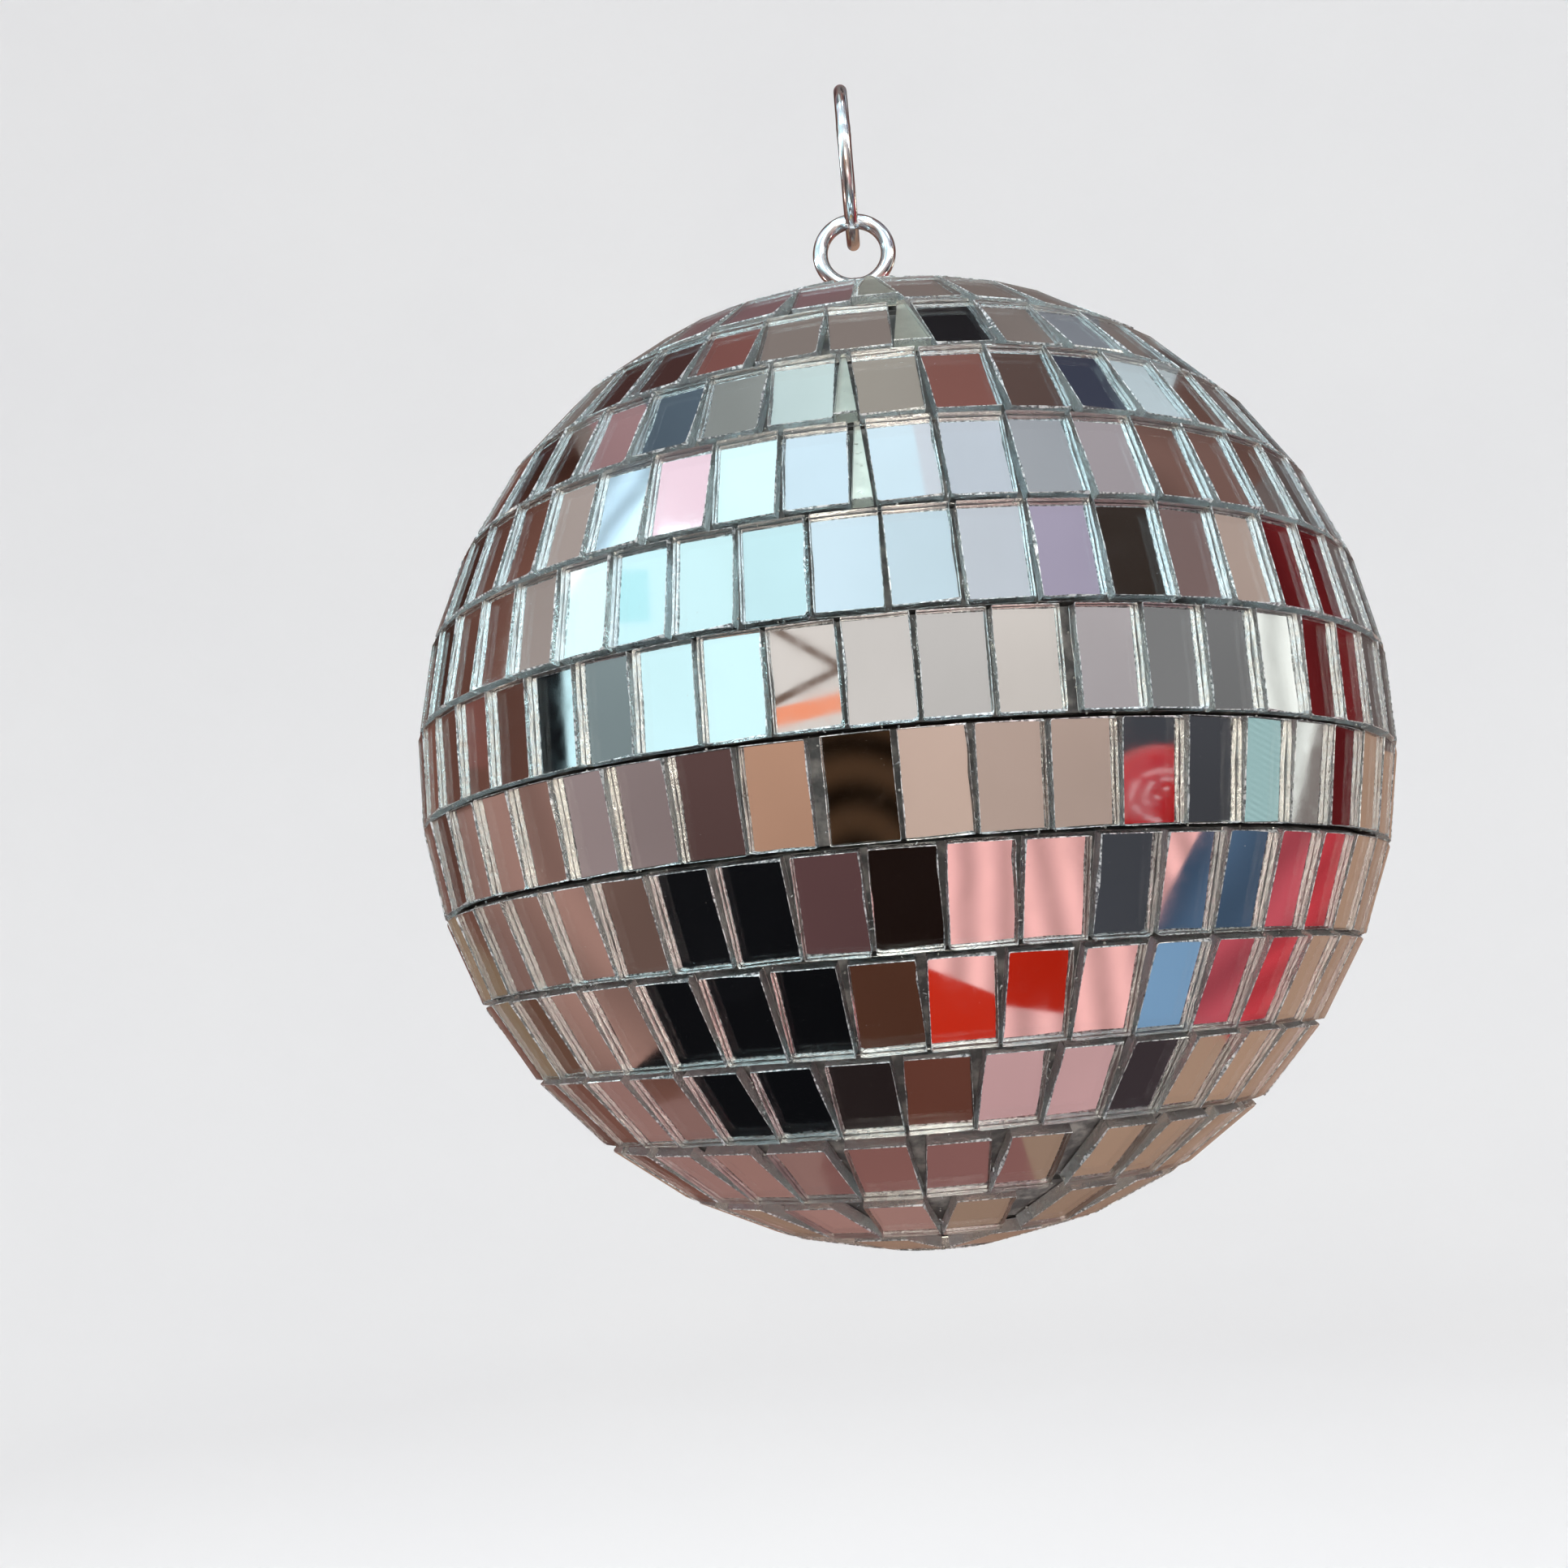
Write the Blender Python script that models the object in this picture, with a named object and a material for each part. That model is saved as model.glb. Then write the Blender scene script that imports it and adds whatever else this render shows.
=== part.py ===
"""Mirror ball: rows of flat glass tiles on a two-part hollow core, hung from a ring through a swivel eye.

Metres, +Z up. The origin is the hanging point: the top of the inside of the hanging ring. The ball turns
about Z on the swivel eye, and the eye swings in the ring about Y.
"""

import math

import bmesh
import bpy

MM = 0.001
CLEARANCE = 0.3 * MM  # between faces that touch in the real object

# The tiles and their rows
FACE_RADIUS = 54.0 * MM  # ball centre to the middle of a tile's outer face
TILE_WIDTH = 6.0 * MM
TILE_HEIGHT = 9.5 * MM
TILE_DEPTH = 1.9 * MM  # outer face down to the floor of the joints
BACKING_RADIUS = 51.35 * MM  # ball centre to the inside of a strip's backing
ROW_PITCH = math.radians(10.7)  # latitude from one row to the next, up to row 4
POLAR_PITCH = math.radians(11.5)  # and from row 4 to the pole
LAST_EVEN_ROW = 4
LAST_ROW = 7
SEAM_FLOOR_MARGIN = 0.1 * MM  # bare backing starts this far from the tile beside it
WIDEST_V_JOINT = 1.2 * MM  # two tiles further apart than this show their backing
POLE_MIRROR_RADIUS = 6.5 * MM

# Each row: tiles, longitude where its strip starts, and how much wider the joint there is than the others.
# Longitude 0 faces -Y and grows towards +X.
ROWS = {
    7: (7, 24, 6.0),
    6: (18, 16.2, 4.0),
    5: (28, 5.2, 5.0),
    4: (37, 8.2, 3.6),
    3: (43, -1.6, 1.7),
    2: (48, -0.5, 1.6),
    1: (51, 176.8, 0.2),
    0: (52, 17.2, 1.0),
    -1: (51, -7.3, 0.8),
    -2: (48, 116.5, 1.0),
    -3: (43, 143.5, 1.0),
    -4: (37, 94.5, 0.8),
    -5: (28, 26.2, 3.0),
    -6: (18, 26.2, 6.0),
    -7: (7, 60, 6.0),
}
SLIVER_ROWS = (2, 3, 4, 5)  # the seams closed with a glass sliver

# The core
SHELL_RADIUS = 51.0 * MM
SHELL_WALL = 2.0 * MM
LAP_HEIGHT = 4.0 * MM
LAP_END = math.radians(8)  # latitude, up or down, where the plain inside of a shell begins
SHELL_SEGMENTS = 40
SHELL_RINGS = 9

# The swivel
SHANK_RADIUS = 1.5 * MM
SHANK_HOLE_RADIUS = 1.8 * MM
BUSH_RADIUS = 3.0 * MM
BUSH_HOLE_RADIUS = 3.3 * MM
BUSH_HEAD_RADIUS = 4.2 * MM
BUSH_HEAD_HEIGHT = 1.2 * MM
BUSH_BOTTOM = 42.0 * MM  # heights here are above the ball's centre
CAP_RADIUS = 6.6 * MM
CAP_RIM = 50.95 * MM
CAP_TOP = 54.6 * MM
CAP_WALL = 0.6 * MM
CAP_LAND_RADIUS = 4.8 * MM
CAP_SKIRT = 0.35  # share of the cap's height below its rolled shoulder
CAP_STEPS = 5
LOAD_PLATE_RADIUS = 11.0 * MM
LOAD_PLATE_TOP = 47.3 * MM
LOAD_PLATE_THICKNESS = 1.2 * MM
BUSH_NUT_FLATS = 9.0 * MM
BUSH_NUT_HEIGHT = 2.5 * MM
THRUST_WASHER_RADIUS = 3.6 * MM
THRUST_WASHER_HEIGHT = 0.8 * MM
SHANK_NUT_FLATS = 5.5 * MM
SHANK_NUT_HEIGHT = 2.4 * MM
SHANK_END_BELOW_NUT = 1.4 * MM
COLLAR_RADIUS = 3.4 * MM
COLLAR_HEIGHT = 1.2 * MM
BEVEL = 0.25 * MM

# The eye and the ring
EYE_RADIUS = 4.1 * MM  # to the middle of its wire
EYE_WIRE_RADIUS = 0.9 * MM
EYE_SINK = 0.2 * MM  # how far the loop is sunk into its collar
RING_RADIUS = 8.8 * MM
RING_WIRE_RADIUS = 0.8 * MM
ROUND_SEGMENTS = 24
FINE_SEGMENTS = 32
WIRE_SEGMENTS = 10

COLLAR_BOTTOM = CAP_TOP + CLEARANCE + BUSH_HEAD_HEIGHT + CLEARANCE
COLLAR_TOP = COLLAR_BOTTOM + COLLAR_HEIGHT
EYE_HEIGHT = COLLAR_TOP + EYE_RADIUS + EYE_WIRE_RADIUS - EYE_SINK
PIVOT_HEIGHT = EYE_HEIGHT + EYE_RADIUS - EYE_WIRE_RADIUS - CLEARANCE - RING_WIRE_RADIUS
RING_HEIGHT = PIVOT_HEIGHT + RING_RADIUS
BALL_DROP = RING_HEIGHT + RING_RADIUS - RING_WIRE_RADIUS  # hanging point down to the ball's centre

MATERIALS = {
    "mirror_glass": ((0.72, 0.76, 0.78), 0.06, 1.0),
    "clear_glass": ((0.66, 0.72, 0.73), 0.12, 0.6),
    "core_plastic": ((0.16, 0.15, 0.14), 0.55, 0.0),
    "chromed_steel": ((0.78, 0.78, 0.80), 0.16, 1.0),
    "plain_steel": ((0.52, 0.52, 0.53), 0.38, 1.0),
    "brass": ((0.72, 0.53, 0.24), 0.30, 1.0),
    "nylon": ((0.82, 0.81, 0.76), 0.45, 0.0),
}


def clear_scene():
    for thing in list(bpy.data.objects):
        bpy.data.objects.remove(thing, do_unlink=True)


def material(node, kind):
    colour, roughness, metallic = MATERIALS[kind]
    made = bpy.data.materials.new(node)
    made.use_nodes = True
    shader = made.node_tree.nodes["Principled BSDF"]
    shader.inputs["Base Color"].default_value = (*colour, 1.0)
    shader.inputs["Roughness"].default_value = roughness
    shader.inputs["Metallic"].default_value = metallic
    return made


def place(node, bm, kind, parent, smooth=True):
    """Turns a bmesh into the object of a node, hung under its body's empty."""
    bmesh.ops.recalc_face_normals(bm, faces=bm.faces)
    mesh = bpy.data.meshes.new(node)
    bm.to_mesh(mesh)
    bm.free()
    made = bpy.data.objects.new(node, mesh)
    bpy.context.collection.objects.link(made)
    mesh.materials.append(material(node, kind))
    if smooth:
        mesh.shade_smooth()
        mesh.set_sharp_from_angle(angle=math.radians(35))
    made.parent = parent
    return made


def pivot(name, height, parent=None):
    """An empty on a joint's axis, at a height above the ball's centre."""
    made = bpy.data.objects.new(name, None)
    bpy.context.collection.objects.link(made)
    made.location.z = height - (parent["height"] if parent else BALL_DROP)
    made["height"] = height
    made.parent = parent
    return made


def spin(bm, outline, axis, segments):
    bmesh.ops.spin(
        bm, geom=outline, axis=axis, cent=(0, 0, 0), angle=math.tau, steps=segments, use_merge=True
    )


def turned(profile, lift, segments=ROUND_SEGMENTS):
    """A closed outline of (radius, height) points spun about Z, with heights counted from lift."""
    bm = bmesh.new()
    corners = [bm.verts.new((radius, 0, height - lift)) for radius, height in profile]
    edges = [bm.edges.new((a, b)) for a, b in zip(corners, corners[1:] + corners[:1])]
    spin(bm, corners + edges, (0, 0, 1), segments)
    bmesh.ops.remove_doubles(bm, verts=bm.verts, dist=1e-7)
    bmesh.ops.dissolve_degenerate(bm, edges=bm.edges, dist=1e-7)
    return bm


def washer(inner, outer, bottom, top, lift, segments=ROUND_SEGMENTS):
    return turned([(inner, bottom), (outer, bottom), (outer, top), (inner, top)], lift, segments)


def wire_loop(radius, wire_radius, centre, along_x, segments):
    """A round loop of wire standing upright in the XZ plane, or in the YZ plane."""
    bm = bmesh.new()
    ring = []
    for step in range(WIRE_SEGMENTS):
        turn = math.tau * step / WIRE_SEGMENTS
        reach, side = radius + wire_radius * math.cos(turn), wire_radius * math.sin(turn)
        ring.append(bm.verts.new((reach, side, 0) if along_x else (side, reach, 0)))
    edges = [bm.edges.new((a, b)) for a, b in zip(ring, ring[1:] + ring[:1])]
    spin(bm, ring + edges, (0, 1, 0) if along_x else (1, 0, 0), segments)
    bmesh.ops.remove_doubles(bm, verts=bm.verts, dist=1e-7)
    bmesh.ops.translate(bm, verts=bm.verts, vec=(0, 0, centre))
    return bm


def guide(node, bm):
    """A helper solid that a Boolean reads and the build leaves out."""
    bmesh.ops.recalc_face_normals(bm, faces=bm.faces)
    mesh = bpy.data.meshes.new(node)
    bm.to_mesh(mesh)
    bm.free()
    made = bpy.data.objects.new(node, mesh)
    bpy.context.collection.objects.link(made)
    made.hide_render = True
    made.display_type = "WIRE"
    return made


def combine(body, helper, operation):
    helper.parent = body.parent
    modifier = body.modifiers.new(operation.lower(), "BOOLEAN")
    modifier.operation = operation
    modifier.solver = "EXACT"
    modifier.object = helper


# ---------------------------------------------------------------- tile rows


def row_latitude(row):
    even = min(abs(row), LAST_EVEN_ROW)
    return math.copysign(even * ROW_PITCH + (abs(row) - even) * POLAR_PITCH, row)


def row_layout(row):
    """The row's latitude, its tiles' pitch, its seam's width and each tile's longitude."""
    count, start, extra = ROWS[row]
    extra = math.radians(extra)
    pitch = (math.tau - extra) / count
    longitudes = [math.radians(start) + pitch * (i + 0.5) for i in range(count)]
    return row_latitude(row), pitch, pitch + extra, longitudes


def on_tile(latitude, longitude, east, north, out):
    """A point in a tile's own frame: east and north of its middle, out from the ball's centre."""
    reach = out * math.cos(latitude) - north * math.sin(latitude)
    return (
        reach * math.sin(longitude) + east * math.cos(longitude),
        -reach * math.cos(longitude) + east * math.sin(longitude),
        out * math.sin(latitude) + north * math.cos(latitude),
    )


def joint_edge(bm, latitude, longitude, side, angle, radius):
    """The low and high corner of a tile's backing on one side, at one depth in the joint beside it."""
    pair = []
    for north in (-TILE_HEIGHT / 2, TILE_HEIGHT / 2):
        reach = radius * math.cos(latitude) - north * math.sin(latitude)
        east = TILE_WIDTH / 2 + SEAM_FLOOR_MARGIN if is_bare(latitude, angle) else reach * math.tan(angle / 2)
        pair.append(bm.verts.new(on_tile(latitude, longitude, side * east, north, radius)))
    return pair


def is_bare(latitude, angle):
    """Whether two tiles this angle apart leave the backing between them bare, and not just a V."""
    return 2 * FACE_RADIUS * math.cos(latitude) * math.tan(angle / 2) - TILE_WIDTH > WIDEST_V_JOINT


def tile_row(row):
    """One strip: flat tiles standing on a thin backing that runs right round the ball."""
    latitude, pitch, seam, longitudes = row_layout(row)
    gaps = [pitch] * (len(longitudes) - 1) + [seam]
    bm = bmesh.new()
    ends = (-TILE_HEIGHT / 2, TILE_HEIGHT / 2)
    floor_radius = FACE_RADIUS - TILE_DEPTH
    blocks = []
    for i, longitude in enumerate(longitudes):
        west, east = [
            [joint_edge(bm, latitude, longitude, side, angle, radius)
             for radius in (BACKING_RADIUS, floor_radius)]
            + [[bm.verts.new(on_tile(latitude, longitude, side * TILE_WIDTH / 2, north, FACE_RADIUS))
                for north in ends]]
            for side, angle in ((-1, gaps[i - 1]), (1, gaps[i]))
        ]
        (inner_w, floor_w, face_w), (inner_e, floor_e, face_e) = west, east
        bm.faces.new((face_w[0], face_e[0], face_e[1], face_w[1]))
        bm.faces.new((floor_w[0], face_w[0], face_w[1], floor_w[1]))
        bm.faces.new((face_e[0], floor_e[0], floor_e[1], face_e[1]))
        bm.faces.new((inner_e[0], inner_w[0], inner_w[1], inner_e[1]))
        for end in (0, 1):
            bm.faces.new((inner_w[end], inner_e[end], floor_e[end], face_e[end], face_w[end], floor_w[end]))
        blocks.append((west, east))
    for i, angle in enumerate(gaps):
        if is_bare(latitude, angle):
            (inner_w, floor_w, _), (inner_e, floor_e, _) = blocks[i][1], blocks[(i + 1) % len(blocks)][0]
            bm.faces.new((floor_w[0], floor_e[0], floor_e[1], floor_w[1]))
            bm.faces.new((inner_e[0], inner_w[0], inner_w[1], inner_e[1]))
            for end in (0, 1):
                bm.faces.new((inner_w[end], inner_e[end], floor_e[end], floor_w[end]))
    bmesh.ops.remove_doubles(bm, verts=bm.verts, dist=1e-7)
    return bm


def seam_sliver(row):
    """The wedge of glass that closes a row's seam, clear of the tiles and of the backing."""
    latitude, pitch, seam, longitudes = row_layout(row)
    middle = longitudes[0] - seam / 2
    bm = bmesh.new()
    rings = []
    lift = FACE_RADIUS * (1 / math.cos(seam / 2) - 1) * math.cos(latitude)
    for out in (FACE_RADIUS - TILE_DEPTH + CLEARANCE + lift, FACE_RADIUS + lift):
        ring = []
        for north, side in ((-1, -1), (-1, 1), (1, 1), (1, -1)):
            height = north * (TILE_HEIGHT / 2 - CLEARANCE)
            reach = out * math.cos(latitude) - height * math.sin(latitude)
            half_gap = reach * math.tan(seam / 2) - TILE_WIDTH / 2 - CLEARANCE
            ring.append(bm.verts.new(on_tile(latitude, middle, side * half_gap, height, out)))
        rings.append(ring)
    low, high = rings
    bm.faces.new(low)
    bm.faces.new(high)
    for i in range(4):
        bm.faces.new((low[i], low[i - 1], high[i - 1], high[i]))
    return bm


def pole_mirror():
    return turned(
        [(0, -FACE_RADIUS), (POLE_MIRROR_RADIUS, -FACE_RADIUS), (POLE_MIRROR_RADIUS, -BACKING_RADIUS),
         (0, -BACKING_RADIUS)],
        0,
    )


# ---------------------------------------------------------------- core


def arc(radius, start, end, steps):
    """Points (distance from the axis, height) on a circle, from one latitude to another."""
    turns = [start + (end - start) * i / steps for i in range(steps + 1)]
    return [(radius * math.cos(a), radius * math.sin(a)) for a in turns]


def upper_shell():
    """Half shell with a hole for the bush, and a thin inner lip that drops into the lower half."""
    inner = SHELL_RADIUS - SHELL_WALL
    middle = SHELL_RADIUS - SHELL_WALL / 2
    hole = math.acos(BUSH_HOLE_RADIUS / SHELL_RADIUS)
    hole_inside = math.acos(BUSH_HOLE_RADIUS / inner)
    profile = arc(SHELL_RADIUS, hole, CLEARANCE / SHELL_RADIUS, SHELL_RINGS)
    profile += [(middle - CLEARANCE, CLEARANCE), (middle - CLEARANCE, CLEARANCE - LAP_HEIGHT)]
    profile += [(inner - CLEARANCE, CLEARANCE - LAP_HEIGHT), (inner - CLEARANCE, CLEARANCE)]
    profile += arc(inner, LAP_END, hole_inside, SHELL_RINGS - 2)
    return turned(profile, 0, SHELL_SEGMENTS)


def lower_shell():
    """Half shell with the outer half of the lap joint at its rim."""
    inner = SHELL_RADIUS - SHELL_WALL
    middle = SHELL_RADIUS - SHELL_WALL / 2
    below_lap = -LAP_HEIGHT - CLEARANCE
    profile = [(SHELL_RADIUS * math.cos(a), SHELL_RADIUS * math.sin(a)) for a in
               [-math.pi / 2 + math.pi / 2 * i / SHELL_RINGS for i in range(SHELL_RINGS)]]
    profile += [(SHELL_RADIUS, 0), (middle, 0), (middle, below_lap)]
    profile += arc(inner, -LAP_END, -math.pi / 2, SHELL_RINGS - 2)
    return turned(profile, 0, SHELL_SEGMENTS)


# ---------------------------------------------------------------- swivel


def crown_cap():
    """Pressed cap with a rolled shoulder and a flat land round its hole."""
    across = CAP_RADIUS - CAP_LAND_RADIUS
    skirt_top = CAP_RIM + (CAP_TOP - CAP_RIM) * CAP_SKIRT
    rise = CAP_TOP - skirt_top
    turns = [math.pi / 2 * i / CAP_STEPS for i in range(CAP_STEPS + 1)]
    outside = [(CAP_LAND_RADIUS + across * math.sin(a), skirt_top + rise * math.cos(a)) for a in turns]
    inside = [
        (CAP_LAND_RADIUS + (across - CAP_WALL) * math.sin(a), skirt_top + (rise - CAP_WALL) * math.cos(a))
        for a in reversed(turns)
    ]
    rim = [(CAP_RADIUS, CAP_RIM), (CAP_RADIUS - CAP_WALL, CAP_RIM)]
    hole = [(BUSH_HOLE_RADIUS, CAP_TOP - CAP_WALL), (BUSH_HOLE_RADIUS, CAP_TOP)]
    return turned(outside + rim + inside + hole, 0)


def stem_bush():
    """Headed tube that clamps the cap and the shell, and carries the eye's shank."""
    head = CAP_TOP + CLEARANCE
    top = head + BUSH_HEAD_HEIGHT
    return turned(
        [(SHANK_HOLE_RADIUS, BUSH_BOTTOM), (BUSH_RADIUS, BUSH_BOTTOM), (BUSH_RADIUS, head),
         (BUSH_HEAD_RADIUS, head), (BUSH_HEAD_RADIUS, top - BEVEL), (BUSH_HEAD_RADIUS - BEVEL, top),
         (SHANK_HOLE_RADIUS, top)],
        0,
    )


def load_plate():
    """Pressed disc that spreads the ball's weight over the inside of the shell."""
    bottom = LOAD_PLATE_TOP - LOAD_PLATE_THICKNESS
    return washer(BUSH_HOLE_RADIUS, LOAD_PLATE_RADIUS, bottom, LOAD_PLATE_TOP, 0, FINE_SEGMENTS)


def hex_prism(flats, bottom, top, lift):
    bm = bmesh.new()
    corner = flats / math.sqrt(3)
    bmesh.ops.create_cone(bm, cap_ends=True, segments=6, radius1=corner, radius2=corner, depth=top - bottom)
    bmesh.ops.translate(bm, verts=bm.verts, vec=(0, 0, (top + bottom) / 2 - lift))
    return bm


def hex_nut(node, flats, hole, top, height, parent):
    lift = parent["height"]
    nut = place(node, hex_prism(flats, top - height, top, lift), "plain_steel", parent, smooth=False)
    low, high = top - height * 2, top + height
    bore = turned([(0, low), (hole, low), (hole, high), (0, high)], lift)
    combine(nut, guide(node + "_bore", bore), "DIFFERENCE")
    return nut


def swivel_eye(parent):
    """Wire loop on a collared shank."""
    lift = parent["height"]
    loop = wire_loop(EYE_RADIUS, EYE_WIRE_RADIUS, EYE_HEIGHT - lift, True, ROUND_SEGMENTS)
    eye = place("swivel_eye", loop, "chromed_steel", parent)
    shank = turned(
        [(0, SHANK_END), (SHANK_RADIUS - BEVEL, SHANK_END), (SHANK_RADIUS, SHANK_END + BEVEL),
         (SHANK_RADIUS, COLLAR_BOTTOM), (COLLAR_RADIUS, COLLAR_BOTTOM), (COLLAR_RADIUS, COLLAR_TOP - BEVEL),
         (COLLAR_RADIUS - BEVEL, COLLAR_TOP), (0, COLLAR_TOP)],
        lift,
    )
    combine(eye, guide("eye_shank", shank), "UNION")
    return eye


THRUST_WASHER_TOP = BUSH_BOTTOM - CLEARANCE
SHANK_NUT_TOP = THRUST_WASHER_TOP - THRUST_WASHER_HEIGHT - CLEARANCE
SHANK_END = SHANK_NUT_TOP - SHANK_NUT_HEIGHT - SHANK_END_BELOW_NUT
BUSH_NUT_TOP = LOAD_PLATE_TOP - LOAD_PLATE_THICKNESS - CLEARANCE


def row_name(row):
    if row == 0:
        return "mirror_row_equator"
    return f"mirror_row_{'north' if row > 0 else 'south'}_{abs(row)}"


def build():
    clear_scene()
    ring_body = pivot("hook_point", BALL_DROP)
    eye_body = pivot("eye_pivot", PIVOT_HEIGHT, ring_body)
    ball_body = pivot("ball_centre", 0.0, eye_body)

    ring = wire_loop(RING_RADIUS, RING_WIRE_RADIUS, RING_HEIGHT - BALL_DROP, False, FINE_SEGMENTS)
    place("hanging_ring", ring, "chromed_steel", ring_body)

    lift = eye_body["height"]
    swivel_eye(eye_body)
    thrust = washer(SHANK_HOLE_RADIUS, THRUST_WASHER_RADIUS, THRUST_WASHER_TOP - THRUST_WASHER_HEIGHT,
                    THRUST_WASHER_TOP, lift)
    place("thrust_washer", thrust, "nylon", eye_body)
    hex_nut("shank_nut", SHANK_NUT_FLATS, SHANK_HOLE_RADIUS, SHANK_NUT_TOP, SHANK_NUT_HEIGHT, eye_body)

    place("crown_cap", crown_cap(), "chromed_steel", ball_body)
    place("stem_bush", stem_bush(), "brass", ball_body)
    place("load_plate", load_plate(), "plain_steel", ball_body)
    hex_nut("bush_nut", BUSH_NUT_FLATS, BUSH_HOLE_RADIUS, BUSH_NUT_TOP, BUSH_NUT_HEIGHT, ball_body)
    place("upper_shell", upper_shell(), "core_plastic", ball_body)
    place("lower_shell", lower_shell(), "core_plastic", ball_body)
    place("south_pole_mirror", pole_mirror(), "mirror_glass", ball_body)
    for row in ROWS:
        place(row_name(row), tile_row(row), "mirror_glass", ball_body, smooth=False)
    for row in SLIVER_ROWS:
        place(f"seam_sliver_{row}", seam_sliver(row), "clear_glass", ball_body, smooth=False)


build()
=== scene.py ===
"""Mirror ball: its finished surfaces. Metres, +Z up, the front faces -Y."""

import math
from collections import namedtuple
from random import Random

import bmesh
import bpy
from mathutils import Euler, Matrix, Quaternion, Vector


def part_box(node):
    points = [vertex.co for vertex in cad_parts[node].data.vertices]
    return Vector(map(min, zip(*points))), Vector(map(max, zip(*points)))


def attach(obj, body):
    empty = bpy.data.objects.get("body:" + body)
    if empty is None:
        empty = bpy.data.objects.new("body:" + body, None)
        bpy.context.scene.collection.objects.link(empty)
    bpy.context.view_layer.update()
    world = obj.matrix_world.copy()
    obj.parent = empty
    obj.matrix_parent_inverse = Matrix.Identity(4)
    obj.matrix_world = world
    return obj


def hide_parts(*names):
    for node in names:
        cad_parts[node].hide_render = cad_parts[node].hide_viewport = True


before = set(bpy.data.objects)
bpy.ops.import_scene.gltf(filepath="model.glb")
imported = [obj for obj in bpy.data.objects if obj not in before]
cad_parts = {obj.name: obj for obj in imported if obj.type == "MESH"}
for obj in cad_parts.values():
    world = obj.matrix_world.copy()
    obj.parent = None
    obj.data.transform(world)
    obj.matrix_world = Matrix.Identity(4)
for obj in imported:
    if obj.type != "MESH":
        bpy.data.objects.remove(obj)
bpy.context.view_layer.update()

MM = 0.001
EQUATOR_LOW, EQUATOR_HIGH = (Vector(corner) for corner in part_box("mirror_row_equator"))
CENTRE = Vector((0, 0, (EQUATOR_LOW.z + EQUATOR_HIGH.z) / 2))
FACE_RADIUS = CENTRE.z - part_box("south_pole_mirror")[0][2]
TILE_HEIGHT = EQUATOR_HIGH.z - EQUATOR_LOW.z

# Tiles. The silver reaches SILVER in front of the glass's back and as far behind it.
TILE_WIDTH = 6.02 * MM
GLASS = 1.3 * MM
BACK_RADIUS = FACE_RADIUS - GLASS
SILVER = 0.04 * MM
VARIANTS = 9
TILT = math.radians(0.75)
TWIST = 0.012  # radians, either way, in the tile's own plane

# What a nip takes off the glass, in millimetres: most are small, and the others are chips
SMALL_SHARE = 0.8
CORNER_NIPS = ((0.05, 0.16), (0.25, 0.6))
EDGE_NIPS = ((0.03, 0.08), (0.12, 0.28))

# The strip under the tiles: how far its back and its face lie below the tiles' backs
STRIP_BACK = 1.25 * MM
STRIP_FACE = 0.06 * MM

# Crumbs in the joints
CRUMBS = 4  # for each tile
CRUMB_SHAPES = 6
ALONG_SHARE = 0.45  # in the joints along a row; the others lie between two tiles
STRAY = 0.0025  # radians off the middle of the joint
DEEPEST, SHALLOWEST = BACK_RADIUS + 0.05 * MM, FACE_RADIUS - 0.15 * MM
SMALLEST = 0.35  # as a share of the whole shape
BEAD_RADIUS = 0.16 * MM
SPLINTER_SIZE = 0.3 * MM

# Rows. They are evenly spaced as far as the last even row, and then a little wider.
ROW_PITCH = math.radians(10.7)
POLAR_PITCH = math.radians(11.5)
LAST_EVEN_ROW = 4

# Each row: tiles, longitude where its strip starts, how much wider the joint there is than the others,
# and how far the first tile leans over that joint. Angles in degrees.
ROWS = {
    7: (7, 24, 6.0, 0),
    6: (18, 16.2, 4.0, 0),
    5: (28, 5.2, 5.0, 5),
    4: (37, 8.2, 3.6, 3),
    3: (43, -1.6, 1.7, 1.5),
    2: (48, -0.5, 1.6, 1),
    1: (51, 176.8, 0.2, 0),
    0: (52, 17.2, 1.0, 0),
    -1: (51, -7.3, 0.8, 0),
    -2: (48, 116.5, 1.0, 0),
    -3: (43, 143.5, 1.0, 0),
    -4: (37, 94.5, 0.8, 0),
    -5: (28, 26.2, 3.0, 0),
    -6: (18, 26.2, 6.0, 0),
    -7: (7, 60, 6.0, 0),
}
SLIVER_ROWS = (2, 3, 4, 5)

# What each face of a tile is, kept as a number on the mesh
POLISHED, CUT, SILVERED, NIPPED = range(4)


# ------------------------------------------------------------------ node writing


class Socket:
    """A node's output, which arithmetic turns into Math nodes."""

    def __init__(self, graph, output):
        self.graph = graph
        self.output = output

    def __add__(self, other):
        return self.graph.math("ADD", self, other)

    def __sub__(self, other):
        return self.graph.math("SUBTRACT", self, other)

    def __rsub__(self, other):
        return self.graph.math("SUBTRACT", other, self)

    def __mul__(self, other):
        return self.graph.math("MULTIPLY", self, other)

    def __truediv__(self, other):
        return self.graph.math("DIVIDE", self, other)

    __radd__ = __add__
    __rmul__ = __mul__

    def clamped(self, low=0.0, high=1.0):
        return self.graph.math("MAXIMUM", self.graph.math("MINIMUM", self, high), low)

    def above(self, edge, softness):
        """0 below the edge and 1 above it, with a soft step between."""
        return ((self - edge) / softness + 0.5).clamped()

    def named(self, name):
        return Socket(self.graph, self.output.node.outputs[name])


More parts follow.
